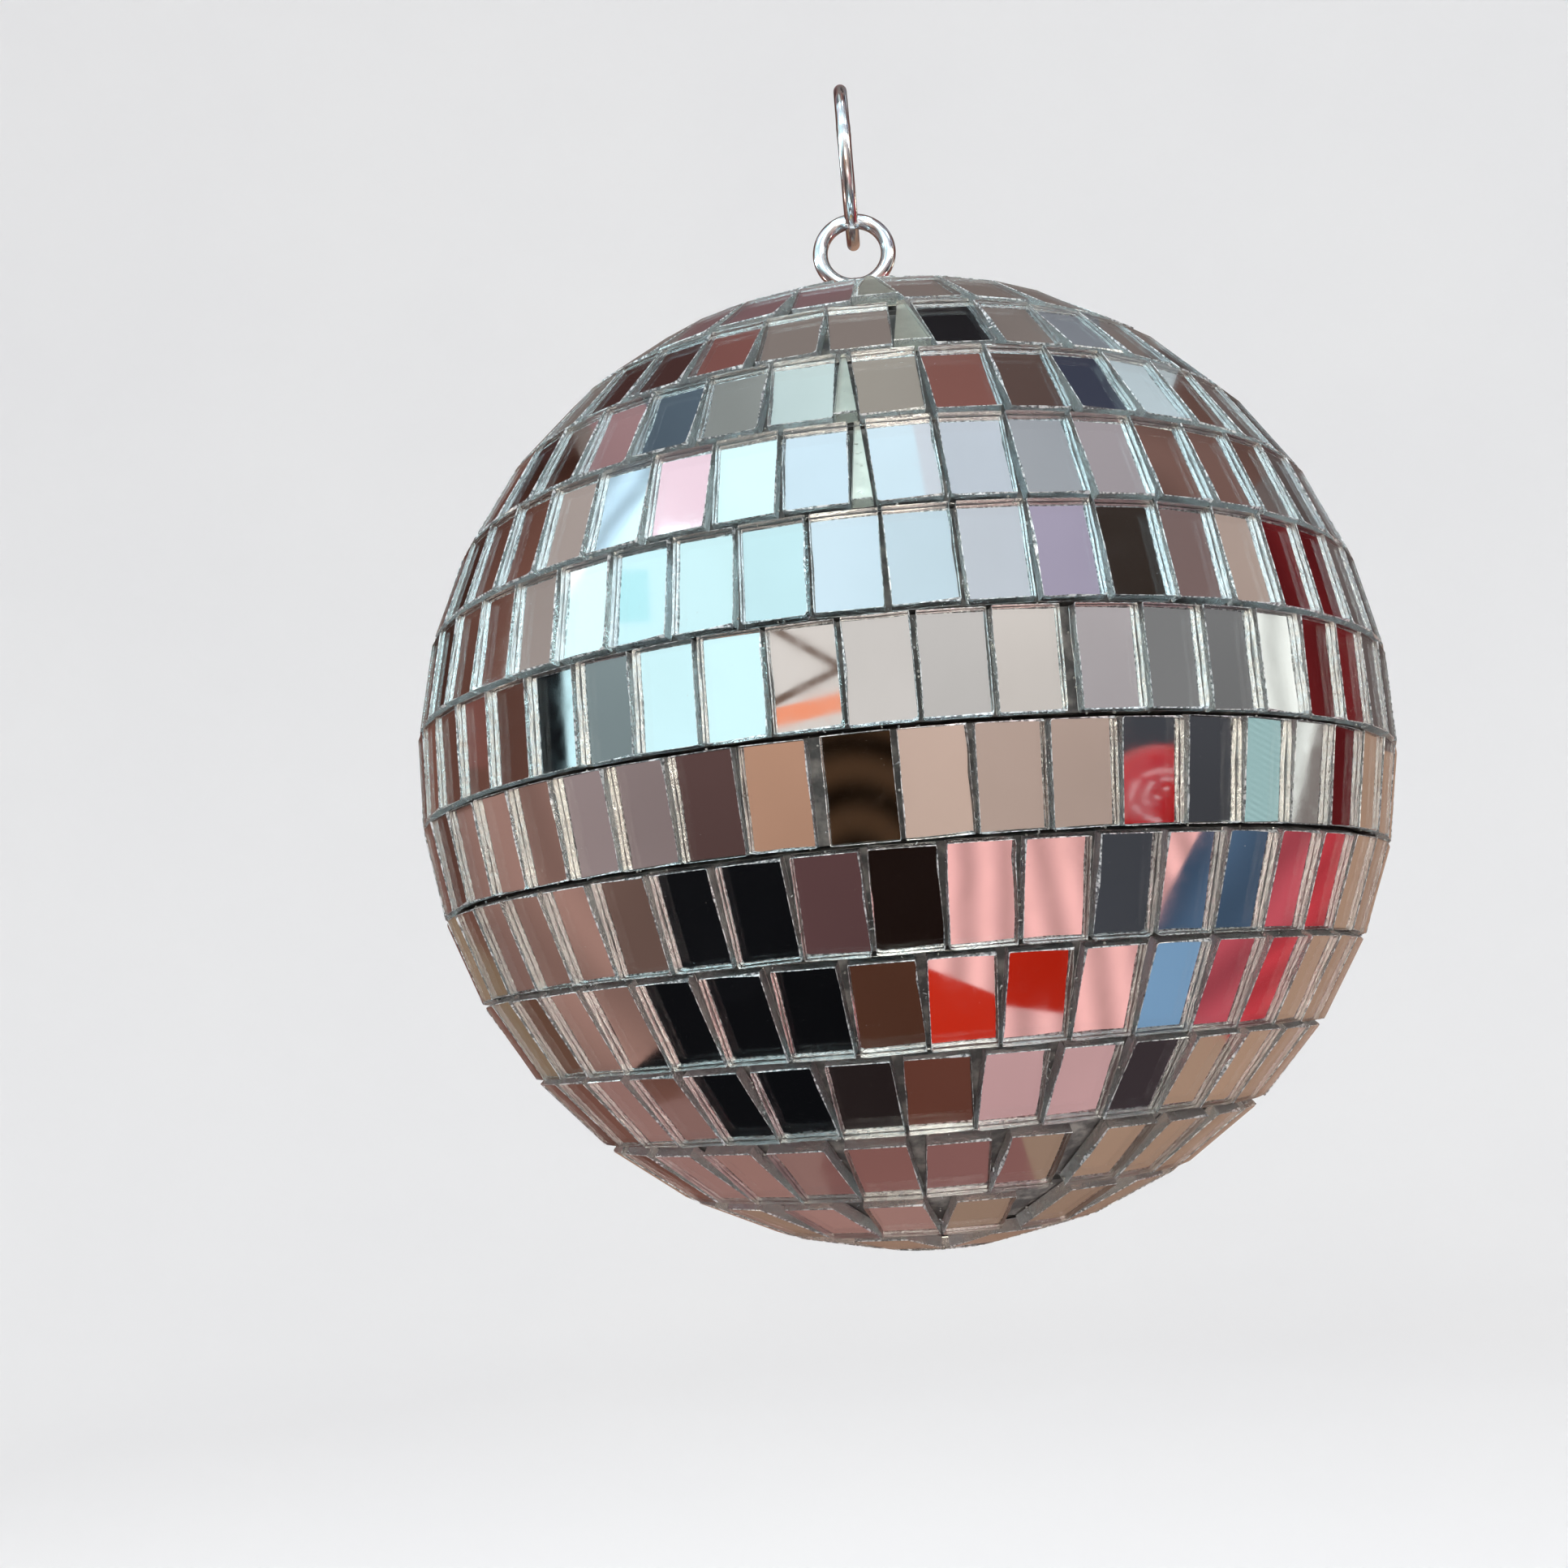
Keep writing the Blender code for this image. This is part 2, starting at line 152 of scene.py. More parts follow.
class Graph:
    """Writes nodes into a shader or geometry tree."""

    def __init__(self, tree):
        self.tree = tree
        tree.nodes.clear()

    def node(self, kind, settings=None, inputs=None, output=0):
        made = self.tree.nodes.new(kind)
        for name, value in (settings or {}).items():
            setattr(made, name, value)
        for name, value in (inputs or {}).items():
            self.feed(made.inputs[name], value)
        return Socket(self, made.outputs[output]) if made.outputs else made

    def feed(self, entry, value):
        if isinstance(value, Socket):
            self.tree.links.new(value.output, entry)
        else:
            entry.default_value = value

    def math(self, operation, *values):
        return self.node("ShaderNodeMath", {"operation": operation}, dict(enumerate(values)))


def linear(colour):
    """A colour as it looks, made into the light values that shaders use."""
    return tuple(c / 12.92 if c <= 0.04045 else ((c + 0.055) / 1.055) ** 2.4 for c in colour)


class Finish(Graph):
    """A material: a Principled shader and the nodes that drive it."""

    def __init__(self, name, **constants):
        self.material = bpy.data.materials.new(name)
        self.material.use_nodes = True
        super().__init__(self.material.node_tree)
        self.shader = self.tree.nodes.new("ShaderNodeBsdfPrincipled")
        output = self.tree.nodes.new("ShaderNodeOutputMaterial")
        self.tree.links.new(self.shader.outputs[0], output.inputs["Surface"])
        self.place = self.node("ShaderNodeTexCoord").named("Object")
        for key, value in constants.items():
            self.shader.inputs[key.replace("_", " ")].default_value = value

    def noise(self, size, detail=3.0, stretch=(1, 1, 1), seed=0.0):
        """Noise whose lumps are about size across, from 0 to 1. Each seed reads another part of it."""
        place = self.node(
            "ShaderNodeMapping",
            inputs={"Vector": self.place, "Scale": stretch, "Location": (seed, seed * 0.7, seed * 1.3)},
        )
        return self.node(
            "ShaderNodeTexNoise",
            inputs={"Vector": place, "Scale": 1 / size, "Detail": detail, "Roughness": 0.55},
        )

    def mix(self, factor, first, second):
        """A colour between two others."""
        made = self.tree.nodes.new("ShaderNodeMix")
        made.data_type = "RGBA"
        for name, value in (("Factor_Float", factor), ("A_Color", first), ("B_Color", second)):
            entry = next(i for i in made.inputs if i.identifier == name)
            self.feed(entry, value if isinstance(value, (Socket, float, int)) else (*value, 1))
        return Socket(self, next(o for o in made.outputs if o.identifier == "Result_Color"))

    def drive(self, **sockets):
        for key, value in sockets.items():
            self.feed(self.shader.inputs[key.replace("_", " ")], value)

    def bump(self, height, depth, strength=1.0):
        """Relief with a depth in metres."""
        inputs = {"Height": height, "Distance": depth, "Strength": strength}
        self.drive(Normal=self.node("ShaderNodeBump", inputs=inputs))


# ------------------------------------------------------------------ finishes


def polished_glass():
    """A tile's face and back, with faint smudges and fine grime."""
    finish = Finish("polished_glass", Transmission_Weight=1.0, IOR=1.5)
    smudge = finish.noise(9 * MM, 4).above(0.58, 0.25)
    grime = finish.noise(1.3 * MM, 5, seed=3.1).above(0.6, 0.2)
    finish.drive(
        Base_Color=finish.mix(smudge * 0.5, linear((0.985, 0.995, 0.995)), linear((0.96, 0.97, 0.965))),
        Roughness=(0.006 + smudge * 0.03 + grime * smudge * 0.06).clamped(),
    )
    return finish.material


def cut_glass():
    """The snapped sides: clear glass, with hackle that scatters light and shell-like steps that catch it."""
    finish = Finish("cut_glass", Transmission_Weight=0.96, IOR=1.52)
    hackle = finish.noise(0.25 * MM, 3)
    shell = finish.noise(0.9 * MM, 2, seed=1.7)
    finish.drive(
        Base_Color=finish.mix(shell, linear((0.95, 0.98, 0.98)), linear((0.99, 1.0, 1.0))),
        Roughness=(0.01 + hackle * hackle * 0.25).clamped(),
    )
    finish.bump(hackle * 0.7 + shell, 0.2 * MM, 0.8)
    return finish.material


def nipped_edge():
    """The crushed front edge, half clear glass: its colour is painted with white glints in patches of noise,
    and is grey between.
    """
    finish = Finish("nipped_edge", Transmission_Weight=0.5, IOR=1.52, Coat_Weight=1.0, Coat_Roughness=0.1)
    crush = finish.noise(0.4 * MM, 4, seed=4.4)
    # Painted glints: white patches of noise in the colour that stand for sparkle on the edge
    painted_glint = crush.above(0.52, 0.1)
    finish.drive(
        Base_Color=finish.mix(painted_glint, linear((0.45, 0.47, 0.48)), linear((1.0, 1.0, 1.0))),
        Roughness=(0.12 + crush * 0.35).clamped(),
    )
    finish.bump(crush, 0.15 * MM)
    return finish.material


def clear_bed():
    """The bright bed of glue that shows through the clear glass of the seams."""
    finish = Finish("clear_bed", Metallic=0.75)
    smear = finish.noise(1.6 * MM, 3)
    void = finish.noise(0.5 * MM, 2, seed=2.0).above(0.68, 0.06)
    finish.drive(
        Base_Color=finish.mix(smear, linear((0.92, 0.91, 0.86)), linear((0.76, 0.76, 0.72))),
        Roughness=(0.22 + smear * 0.2 + void * 0.3).clamped(),
    )
    finish.bump(smear - void * 0.4, 0.05 * MM)
    return finish.material


def silvering():
    """The mirror coat, a little uneven and greyer from tile to tile."""
    finish = Finish("silvering", Metallic=1.0)
    tone = finish.node("ShaderNodeAttribute", {"attribute_name": "tone"}).named("Fac")
    haze = finish.noise(3.5 * MM, 3).above(0.55, 0.5)
    speck = finish.noise(0.22 * MM, 2, seed=5.0).above(0.77, 0.04)
    clean = finish.mix(tone, linear((0.90, 0.92, 0.93)), linear((0.98, 0.985, 0.98)))
    finish.drive(
        Base_Color=finish.mix(speck * 0.6, clean, linear((0.45, 0.44, 0.42))),
        Roughness=(0.012 + haze * 0.03 + speck * 0.3).clamped(),
    )
    return finish.material


def backing_paper():
    """The dark strip that the tiles are glued to, with dried glue and dust in the joints."""
    finish = Finish("backing_strip")
    fibre = finish.noise(0.5 * MM, 4)
    dust = finish.noise(2.2 * MM, 4, seed=2.0).above(0.56, 0.2)
    dark = finish.mix(fibre, linear((0.20, 0.195, 0.19)), linear((0.36, 0.35, 0.34)))
    finish.drive(
        Base_Color=finish.mix(dust * 0.7, dark, linear((0.60, 0.57, 0.54))),
        Roughness=(0.55 + fibre * 0.4).clamped(),
    )
    finish.bump(fibre, 0.08 * MM)
    return finish.material


def dried_glue():
    """Beads of glue, pale and a little glossy."""
    finish = Finish("dried_glue", Coat_Weight=0.4, IOR=1.47)
    lump = finish.noise(0.35 * MM, 3)
    finish.drive(
        Base_Color=finish.mix(lump, linear((0.46, 0.44, 0.41)), linear((0.78, 0.76, 0.72))),
        Roughness=(0.25 + lump * 0.3).clamped(),
    )
    finish.bump(lump, 0.05 * MM)
    return finish.material


def moulded_core():
    """Dark grey moulding, with a fine grain."""
    finish = Finish("moulded_core")
    grain = finish.noise(0.35 * MM, 2)
    cloud = finish.noise(14 * MM, 3, seed=4.0)
    finish.drive(
        Base_Color=finish.mix(cloud, linear((0.15, 0.145, 0.14)), linear((0.23, 0.22, 0.21))),
        Roughness=(0.5 + grain * 0.25).clamped(),
    )
    finish.bump(grain, 0.03 * MM)
    return finish.material


def plated(name, light, dark, smoothest, roughest, scratch=0.3):
    """A bright metal with fine scratches and patches where it has dulled."""
    finish = Finish(name, Metallic=1.0)
    dull = finish.noise(3 * MM, 5, seed=1.0).above(0.52, 0.35)
    lines = finish.noise(0.25 * MM, 2, stretch=(1, 1, 0.12), seed=6.0)
    finish.drive(
        Base_Color=finish.mix(dull * 0.7, linear(light), linear(dark)),
        Roughness=(smoothest + (roughest - smoothest) * dull + lines * 0.08).clamped(),
    )
    finish.bump(lines, 0.004 * MM, scratch)
    return finish.material


def natural_nylon():
    """Undyed cream plastic that lets a little light in."""
    finish = Finish("natural_nylon", Subsurface_Weight=0.15)
    cloud = finish.noise(1.2 * MM, 3)
    finish.drive(
        Base_Color=finish.mix(cloud, linear((0.84, 0.82, 0.76)), linear((0.91, 0.90, 0.86))),
        Roughness=(0.38 + cloud * 0.2).clamped(),
    )
    return finish.material


# ------------------------------------------------------------------ glass slabs


def nip(rng, small, chip):
    """How deep a nip is, from either range."""
    return (rng.uniform(*small) if rng.random() < SMALL_SHARE else rng.uniform(*chip)) * MM


def snapped_outline(width, height, rng):
    """Sixteen points round a tile as it was snapped off: nearly straight sides and nipped corners."""
    points = []
    corners = [(-1, -1), (1, -1), (1, 1), (-1, 1)]
    for index, (x, y) in enumerate(corners):
        nips = [nip(rng, *CORNER_NIPS) for _ in range(2)]
        at = Vector((x * width / 2, y * height / 2))
        along_x, along_y = Vector((-x * nips[0], 0)), Vector((0, -y * nips[1]))
        leaving, arriving = (along_x, along_y) if index % 2 == 0 else (along_y, along_x)
        points += [at + arriving, at + leaving]
        ahead = Vector(corners[(index + 1) % 4])
        toward = Vector((ahead.x * width / 2, ahead.y * height / 2))
        shares = (0.5,) if index % 2 == 0 else (0.27, 0.52, 0.76)
        points += [at.lerp(toward, share + rng.uniform(-0.06, 0.06)) for share in shares]
    wander = 0.035 * MM
    return [p + Vector((rng.uniform(-wander, wander), rng.uniform(-wander, wander))) for p in points]


def inset(points, amounts):
    """An outline drawn in towards its middle, point by point."""
    middle = sum(points, Vector((0, 0))) / len(points)
    return [p - (p - middle).normalized() * amount for p, amount in zip(points, amounts)]


def add_slab(bm, outline, rng, place=Matrix.Identity(4)):
    """A slab of glass, its back at height 0: faceted sides, a nipped front edge and the mirror coat."""
    finish = bm.faces.layers.int["finish"]

    def ring(points, heights):
        return [bm.verts.new(place @ Vector((p.x, p.y, h))) for p, h in zip(points, heights)]

    def fill(low, high, kind):
        for i in range(len(low)):
            bm.faces.new((low[i - 1], low[i], high[i], high[i - 1]))[finish] = kind

    def cap(points, kind):
        bm.faces.new(points)[finish] = kind

    count = len(outline)
    back = inset(outline, [rng.uniform(-0.04, 0.05) * MM for _ in outline])
    waist = inset(outline, [rng.uniform(-0.05, 0.12) * MM for _ in outline])
    nips = [nip(rng, *EDGE_NIPS) for _ in outline]
    rings = [
        ring(back, [0] * count),
        ring(waist, [GLASS * rng.uniform(0.35, 0.65) for _ in outline]),
        ring(outline, [GLASS - depth * rng.uniform(0.8, 1.8) for depth in nips]),
        ring(inset(outline, nips), [GLASS] * count),
    ]
    for low, high, kind in zip(rings, rings[1:], (CUT, CUT, NIPPED)):
        fill(low, high, kind)
    cap(rings[-1], POLISHED)
    cap(rings[0][::-1], POLISHED)
    coat = inset(back, [rng.uniform(0.06, 0.15) * MM for _ in outline])
    low, high = ring(coat, [-SILVER] * count), ring(coat, [SILVER] * count)
    fill(low, high, SILVERED)
    cap(high, SILVERED)
    cap(low[::-1], SILVERED)


def new_slab_mesh():
    bm = bmesh.new()
    bm.faces.layers.int.new("finish")
    return bm


def as_object(name, bm):
    mesh = bpy.data.meshes.new(name)
    bm.to_mesh(mesh)
    bm.free()
    made = bpy.data.objects.new(name, mesh)
    bpy.context.collection.objects.link(made)
    return made


def tile_variants():
    """A few tiles, no two snapped alike, that the rows draw from."""
    made = []
    for index in range(VARIANTS):
        rng = Random(100 + index)
        bm = new_slab_mesh()
        width = TILE_WIDTH + rng.uniform(-0.07, 0.04) * MM
        height = TILE_HEIGHT + rng.uniform(-0.10, 0.06) * MM
        add_slab(bm, snapped_outline(width, height, rng), rng)
        made.append(as_object(f"tile_{index}", bm))
    return made


# ------------------------------------------------------------------ rows of tiles


def row_latitude(row):
    """Rows count from 0 on the equator, up to the north and down to the south."""
    even = min(abs(row), LAST_EVEN_ROW)
    return math.copysign(even * ROW_PITCH + (abs(row) - even) * POLAR_PITCH, row)


def row_layout(row):
    """The row's latitude, its tiles' pitch, the longitude where it starts and its seam's angle."""
    count, start, extra, _ = ROWS[row]
    pitch = (math.tau - math.radians(extra)) / count
    return row_latitude(row), pitch, math.radians(start), pitch + math.radians(extra)


def tile_turn(latitude, longitude):
    return Euler((math.pi / 2 - latitude, 0, longitude))


def on_ball(latitude, longitude, north, out):
    """A place on the ball, so far north of a spot and so far out from the centre."""
    return CENTRE + tile_turn(latitude, longitude).to_matrix() @ Vector((0, north, out))


class Scatter(Graph):
    """A geometry tree that puts a shape, picked at random from a few, on each of a number of points."""

    def __init__(self, name, inputs):
        super().__init__(bpy.data.node_groups.new(name, "GeometryNodeTree"))
        add_entry = self.tree.interface.new_socket
        self.entries = {
            label: add_entry(name=label, in_out="INPUT", socket_type="NodeSocket" + kind).identifier
            for label, kind in inputs.items()
        }
        add_entry(name="Geometry", in_out="OUTPUT", socket_type="NodeSocketGeometry")
        self.given = self.node("NodeGroupInput").named
        self.index = self.node("GeometryNodeInputIndex")

    def random(self, low, high, offset):
        """A number for each point. Each offset gives numbers of its own."""
        return self.node(
            "FunctionNodeRandomValue",
            {"data_type": "FLOAT"},
            {2: low, 3: high, 7: self.index, 8: self.given("Seed") + offset},
            output=1,
        )

    def turn(self, x, y, z):
        angles = self.node("ShaderNodeCombineXYZ", inputs={"X": x, "Y": y, "Z": z})
        return self.node("FunctionNodeEulerToRotation", inputs={0: angles})

    def points(self, count, facing, reach):
        """Points that lie at a reach from the ball's centre, in the directions that they face."""
        outward = self.node("ShaderNodeCombineXYZ", inputs={"Z": reach})
        spot = self.node("FunctionNodeRotateVector", inputs={"Vector": outward, "Rotation": facing})
        spot = self.node("ShaderNodeVectorMath", {"operation": "ADD"}, {0: spot, 1: tuple(CENTRE)})
        return self.node("GeometryNodePoints", inputs={"Count": count, "Position": spot})

    def lay(self, shapes, **inputs):
        """One of the shapes, picked at random, on each point."""
        flock = self.node("GeometryNodeJoinGeometry")
        for shape in shapes:
            copy = self.node("GeometryNodeObjectInfo", inputs={"Object": shape, "As Instance": True})
            self.feed(flock.output.node.inputs[0], copy.named("Geometry"))
        pick = self.node(
            "FunctionNodeRandomValue",
            {"data_type": "INT"},
            {4: 0, 5: len(shapes) - 1, 7: self.index, 8: self.given("Seed")},
            output=2,
        )
        return self.node(
            "GeometryNodeInstanceOnPoints",
            inputs={"Instance": flock, "Pick Instance": True, "Instance Index": pick, **inputs},
        )

    def close(self, laid, finishes):
        """Make the copies real, and give each face the finish that its number says."""
        solid = self.node("GeometryNodeRealizeInstances", inputs={"Geometry": laid})
        kind = self.node("GeometryNodeInputNamedAttribute", {"data_type": "INT"}, {"Name": "finish"})
        same = {"data_type": "INT", "operation": "EQUAL"}
        for number, finish in enumerate(finishes):
            chosen = self.node("FunctionNodeCompare", same, {2: kind, 3: number})
            inputs = {"Geometry": solid, "Selection": chosen, "Material": finish}
            solid = self.node("GeometryNodeSetMaterial", inputs=inputs)
        self.node("NodeGroupOutput", inputs={0: solid})


def tile_scatter(variants, finishes):
    """Geometry nodes that lay one row of tiles, each picked at random and tilted a little."""
    sizes = ("Latitude", "Start", "Pitch", "Back radius", "Tilt", "First lean")
    graph = Scatter("tile_row", {"Tiles": "Int", **dict.fromkeys(sizes, "Float"), "Seed": "Int"})
    given, random = graph.given, graph.random
    longitude = given("Start") + given("Pitch") * (graph.index + 0.5)
    facing = graph.turn(math.pi / 2 - given("Latitude"), 0.0, longitude)
    first = graph.math("LESS_THAN", graph.index, 0.5)
    tilt = graph.turn(
        random(-1.0, 1.0, 1) * given("Tilt"),
        random(-1.0, 1.0, 2) * given("Tilt"),
        random(-TWIST, TWIST, 3) + first * given("First lean"),
    )
    rotation = graph.node(
        "FunctionNodeRotateRotation", {"rotation_space": "LOCAL"}, {"Rotation": facing, "Rotate By": tilt}
    )
    points = graph.points(given("Tiles"), facing, given("Back radius"))
    laid = graph.lay(variants, Points=points, Rotation=rotation)
    toned = graph.node(
        "GeometryNodeStoreNamedAttribute",
        {"data_type": "FLOAT", "domain": "INSTANCE"},
        {"Geometry": laid, "Name": "tone", "Value": random(0.0, 1.0, 4)},
    )
    graph.close(toned, finishes)
    return graph


def grown(name, scatter, settings):
    """The mesh that a geometry tree makes with these inputs, as a plain object."""
    seed = bpy.data.objects.new(name + "_seed", bpy.data.meshes.new(name + "_seed"))
    bpy.context.collection.objects.link(seed)
    modifier = seed.modifiers.new("grow", "NODES")
    modifier.node_group = scatter.tree
    for label, value in settings.items():
        modifier[scatter.entries[label]] = value
    bpy.context.view_layer.update()
    evaluated = seed.evaluated_get(bpy.context.evaluated_depsgraph_get())
    made = bpy.data.objects.new(name, bpy.data.meshes.new_from_object(evaluated))
    bpy.context.collection.objects.link(made)
    bpy.data.objects.remove(seed, do_unlink=True)
    return made


def row_name(row):
    if row == 0:
        return "mirror_row_equator"
    return f"mirror_row_{'north' if row > 0 else 'south'}_{abs(row)}"


def discard(objects):
    for item in objects:
        bpy.data.objects.remove(item, do_unlink=True)


def lay_rows(finishes):
    variants = tile_variants()
    scatter = tile_scatter(variants, finishes)
    for row, (count, _, _, lean) in ROWS.items():
        latitude, pitch, start, _ = row_layout(row)
        tiles = grown(row_name(row) + "_glass", scatter, {
            "Tiles": count,
            "Latitude": latitude,
            "Start": start,
            "Pitch": pitch,
            "Back radius": BACK_RADIUS,
            "Tilt": TILT,
            "First lean": math.radians(lean),
            "Seed": 40 + row * 11,
        })
        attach(tiles, "ball")
        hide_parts(row_name(row))
    discard(variants)


def crumb_scatter(shapes, finishes):
    """Geometry nodes that scatter beads of glue and splinters of glass in the joints of one row."""
    sizes = ("Tiles", "Latitude", "Start", "Pitch", "Half height")
    graph = Scatter("joint_crumbs", {"Crumbs": "Int", **dict.fromkeys(sizes, "Float"), "Seed": "Int"})
    given, random = graph.given, graph.random
    along = graph.math("LESS_THAN", random(0.0, 1.0, 1), ALONG_SHARE)
    place = random(0.0, 1.0, 2) * given("Tiles")
    joint = graph.math("FLOOR", place)
    tiles_on = place * along + joint * (1 - along)
    longitude = given("Start") + given("Pitch") * tiles_on + random(-STRAY, STRAY, 3)
    past_edge, short_of_edge, whole_turn = 1.03, 0.95, 6.28
    edge = graph.math("SIGN", random(-1.0, 1.0, 4)) * past_edge
    beside = random(-short_of_edge, short_of_edge, 5)
    north = (edge * along + beside * (1 - along)) * given("Half height")
    latitude = given("Latitude") + north / FACE_RADIUS
    facing = graph.turn(math.pi / 2 - latitude, 0.0, longitude)
    reach = random(DEEPEST, SHALLOWEST, 6)
    rotation = graph.turn(random(0.0, whole_turn, 7), random(0.0, whole_turn, 8), longitude)
    size = random(SMALLEST, 1.0, 9)
    scale = graph.node("ShaderNodeCombineXYZ", inputs={"X": size, "Y": size, "Z": size})
    points = graph.points(given("Crumbs"), facing, reach)
    graph.close(graph.lay(shapes, Points=points, Rotation=rotation, Scale=scale), finishes)
    return graph


def crumb_shapes():
    """Beads of glue and splinters of glass, a few of each."""
    made = []
    for index in range(CRUMB_SHAPES):
        rng = Random(300 + index)
        bm = new_slab_mesh()
        splinter = index % 2
        if splinter:
            bmesh.ops.create_cube(bm, size=SPLINTER_SIZE)
        else:
            bmesh.ops.create_icosphere(bm, subdivisions=1, radius=BEAD_RADIUS)
        for vert in bm.verts:
            vert.co = Vector([c * rng.uniform(0.6, 1.2) for c in vert.co])
        bmesh.ops.scale(bm, vec=(0.5, 0.6, 1.7) if splinter else (1, 1, 1.2), verts=bm.verts)
        for face in bm.faces:
            face[bm.faces.layers.int["finish"]] = splinter
            face.smooth = not splinter
        made.append(as_object(f"crumb_{index}", bm))
    return made


def joint_crumbs(finishes):
    shapes = crumb_shapes()
    scatter = crumb_scatter(shapes, finishes)
    rows = []
    for row, (count, _, _, _) in ROWS.items():
        latitude, pitch, start, _ = row_layout(row)
        rows.append(grown(f"crumbs_{row}", scatter, {
            "Crumbs": count * CRUMBS,
            "Tiles": float(count),
            "Latitude": latitude,
            "Start": start,
            "Pitch": pitch,
            "Half height": TILE_HEIGHT / 2,
            "Seed": 700 + row * 13,
        }))
    discard(shapes)
    crumbs = joined("joint_crumbs", rows)
    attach(crumbs, "ball")


def joined(name, pieces):
    with bpy.context.temp_override(active_object=pieces[0], selected_editable_objects=pieces):
        bpy.ops.object.join()
    pieces[0].name = name
    return pieces[0]


def glass_piece(name, outline, finishes, place, seed):
    """A lone slab of mirror glass with its own outline."""
    bm = new_slab_mesh()
    add_slab(bm, outline, Random(seed), place)
    finish = bm.faces.layers.int["finish"]
    for face in bm.faces:
        face.material_index = face[finish]
    piece = as_object(name, bm)
    tone = piece.data.attributes.new("tone", "FLOAT", "POINT")
    tone.data.foreach_set("value", [0.5] * len(piece.data.vertices))
    for material in finishes:
        piece.data.materials.append(material)
    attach(piece, "ball")
    return piece


def seam_slivers(finishes):
    """Wedges of glass, narrow end to the pole, that close the seams of four rows, level with the tiles."""
    end_gap, side_gap = 0.3 * MM, 0.15 * MM
    narrowing, narrowest = 0.35, 0.12 * MM
    for row in SLIVER_ROWS:
        latitude, pitch, start, seam = row_layout(row)
        outline = []
        for north, sides in ((-1, (-1, 0, 1)), (1, (1, 0, -1))):
            height = north * (TILE_HEIGHT / 2 - end_gap)
            reach = FACE_RADIUS * math.cos(latitude) - height * math.sin(latitude)
            half = reach * math.tan(seam / 2) - TILE_WIDTH / 2 - side_gap
            if north > 0:
                half = max(half * narrowing, narrowest)
            outline += [Vector((side * half, height)) for side in sides]
        middle = start + pitch / 2 - seam / 2
        lift = FACE_RADIUS * (1 / math.cos(seam / 2) - 1) * math.cos(latitude)
        place = Matrix.Translation(on_ball(latitude, middle, 0, BACK_RADIUS + lift))
        place = place @ tile_turn(latitude, middle).to_matrix().to_4x4()
        sliver = glass_piece(f"seam_sliver_{row}_glass", outline, finishes, place, 60 + row)
        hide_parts(f"seam_sliver_{row}")


def pole_mirror(finishes):
    """The round mirror at the bottom of the ball."""
    low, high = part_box("south_pole_mirror")
    radius = (high[0] - low[0]) / 2
    rng = Random(7)
    points = 40
    outline = []
    for i in range(points):
        reach = radius + rng.uniform(-0.07, 0.03) * MM
        turn = math.tau * i / points
        outline.append(reach * Vector((math.cos(turn), math.sin(turn))))
    place = Matrix.Translation(CENTRE - Vector((0, 0, BACK_RADIUS))) @ Matrix.Rotation(math.pi, 4, "X")
    mirror = glass_piece("south_pole_mirror_glass", outline, finishes, place, 8)
    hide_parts("south_pole_mirror")


def strip_backings(finish):
    """The thin strips under the tiles, one closed hoop for each row."""
    bm = bmesh.new()
    half = TILE_HEIGHT / 2 - 0.05 * MM
    section = ((STRIP_BACK, -half), (STRIP_FACE, -half), (STRIP_FACE, half), (STRIP_BACK, half))
    for row, (count, _, _, _) in ROWS.items():
        latitude, _, start, _ = row_layout(row)
        steps = count * 2
        turns = [start + math.tau * i / steps for i in range(steps)]
        loops = [
            [bm.verts.new(on_ball(latitude, turn, north, BACK_RADIUS - depth)) for turn in turns]
            for depth, north in section
        ]
        for lower, upper in zip(loops, loops[1:] + loops[:1]):
            for i in range(steps):
                bm.faces.new((lower[i - 1], lower[i], upper[i], upper[i - 1]))
    bmesh.ops.recalc_face_normals(bm, faces=bm.faces)
    strips = as_object("strip_backings", bm)
    strips.data.materials.append(finish)
    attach(strips, "ball")


# ------------------------------------------------------------------ hanger and other hardware

TURNED_STEPS = 96
AROUND_LOOP, ROUND_WIRE = 128, 24
TURNED_CORNER, PRESSED_CORNER = 0.25, 0.15  # radii of eased corners, in millimetres
RING_RADIUS, RING_WIRE = 8.8 * MM, 0.8 * MM
EYE_RADIUS, EYE_WIRE = 4.1 * MM, 0.9 * MM

# Radii and walls, and then heights above the ball's centre, in millimetres
SHANK, COLLAR = 1.5, 3.4
CAP_HOLE, CAP_LAND, CAP_REACH, CAP_WALL = 3.3, 4.8, 1.8, 0.6
BORE, BUSH, FLANGE = 1.8, 3, 4.2
SHANK_TOP, COLLAR_TOP = 56.4, 57.6
CAP_RIM, CAP_SHOULDER, CAP_TOP = 50.95, 52.23, 54.6
BUSH_FOOT, FLANGE_FOOT, BUSH_TOP = 42, 54.9, 56.1


def eased(profile, radius, steps=4):
    """A profile with its corners rounded off, apart from those on the axis."""
    points = []
    for i, here in enumerate(profile):
        if here.x == 0:
            points.append(here)
            continue
        before, after = profile[i - 1] - here, profile[(i + 1) % len(profile)] - here
        a = here + before.normalized() * min(radius, before.length / 2.2)
        b = here + after.normalized() * min(radius, after.length / 2.2)
        shares = [k / steps for k in range(steps + 1)]
        points += [a.lerp(here, share).lerp(here.lerp(b, share), share) for share in shares]
    return points


def spin(bm, profile, steps):
    """Sweep a profile once round the ball's axis."""
    bmesh.ops.spin(
        bm, geom=profile, axis=(0, 0, 1), cent=(0, 0, 0), angle=math.tau, steps=steps, use_merge=True
    )


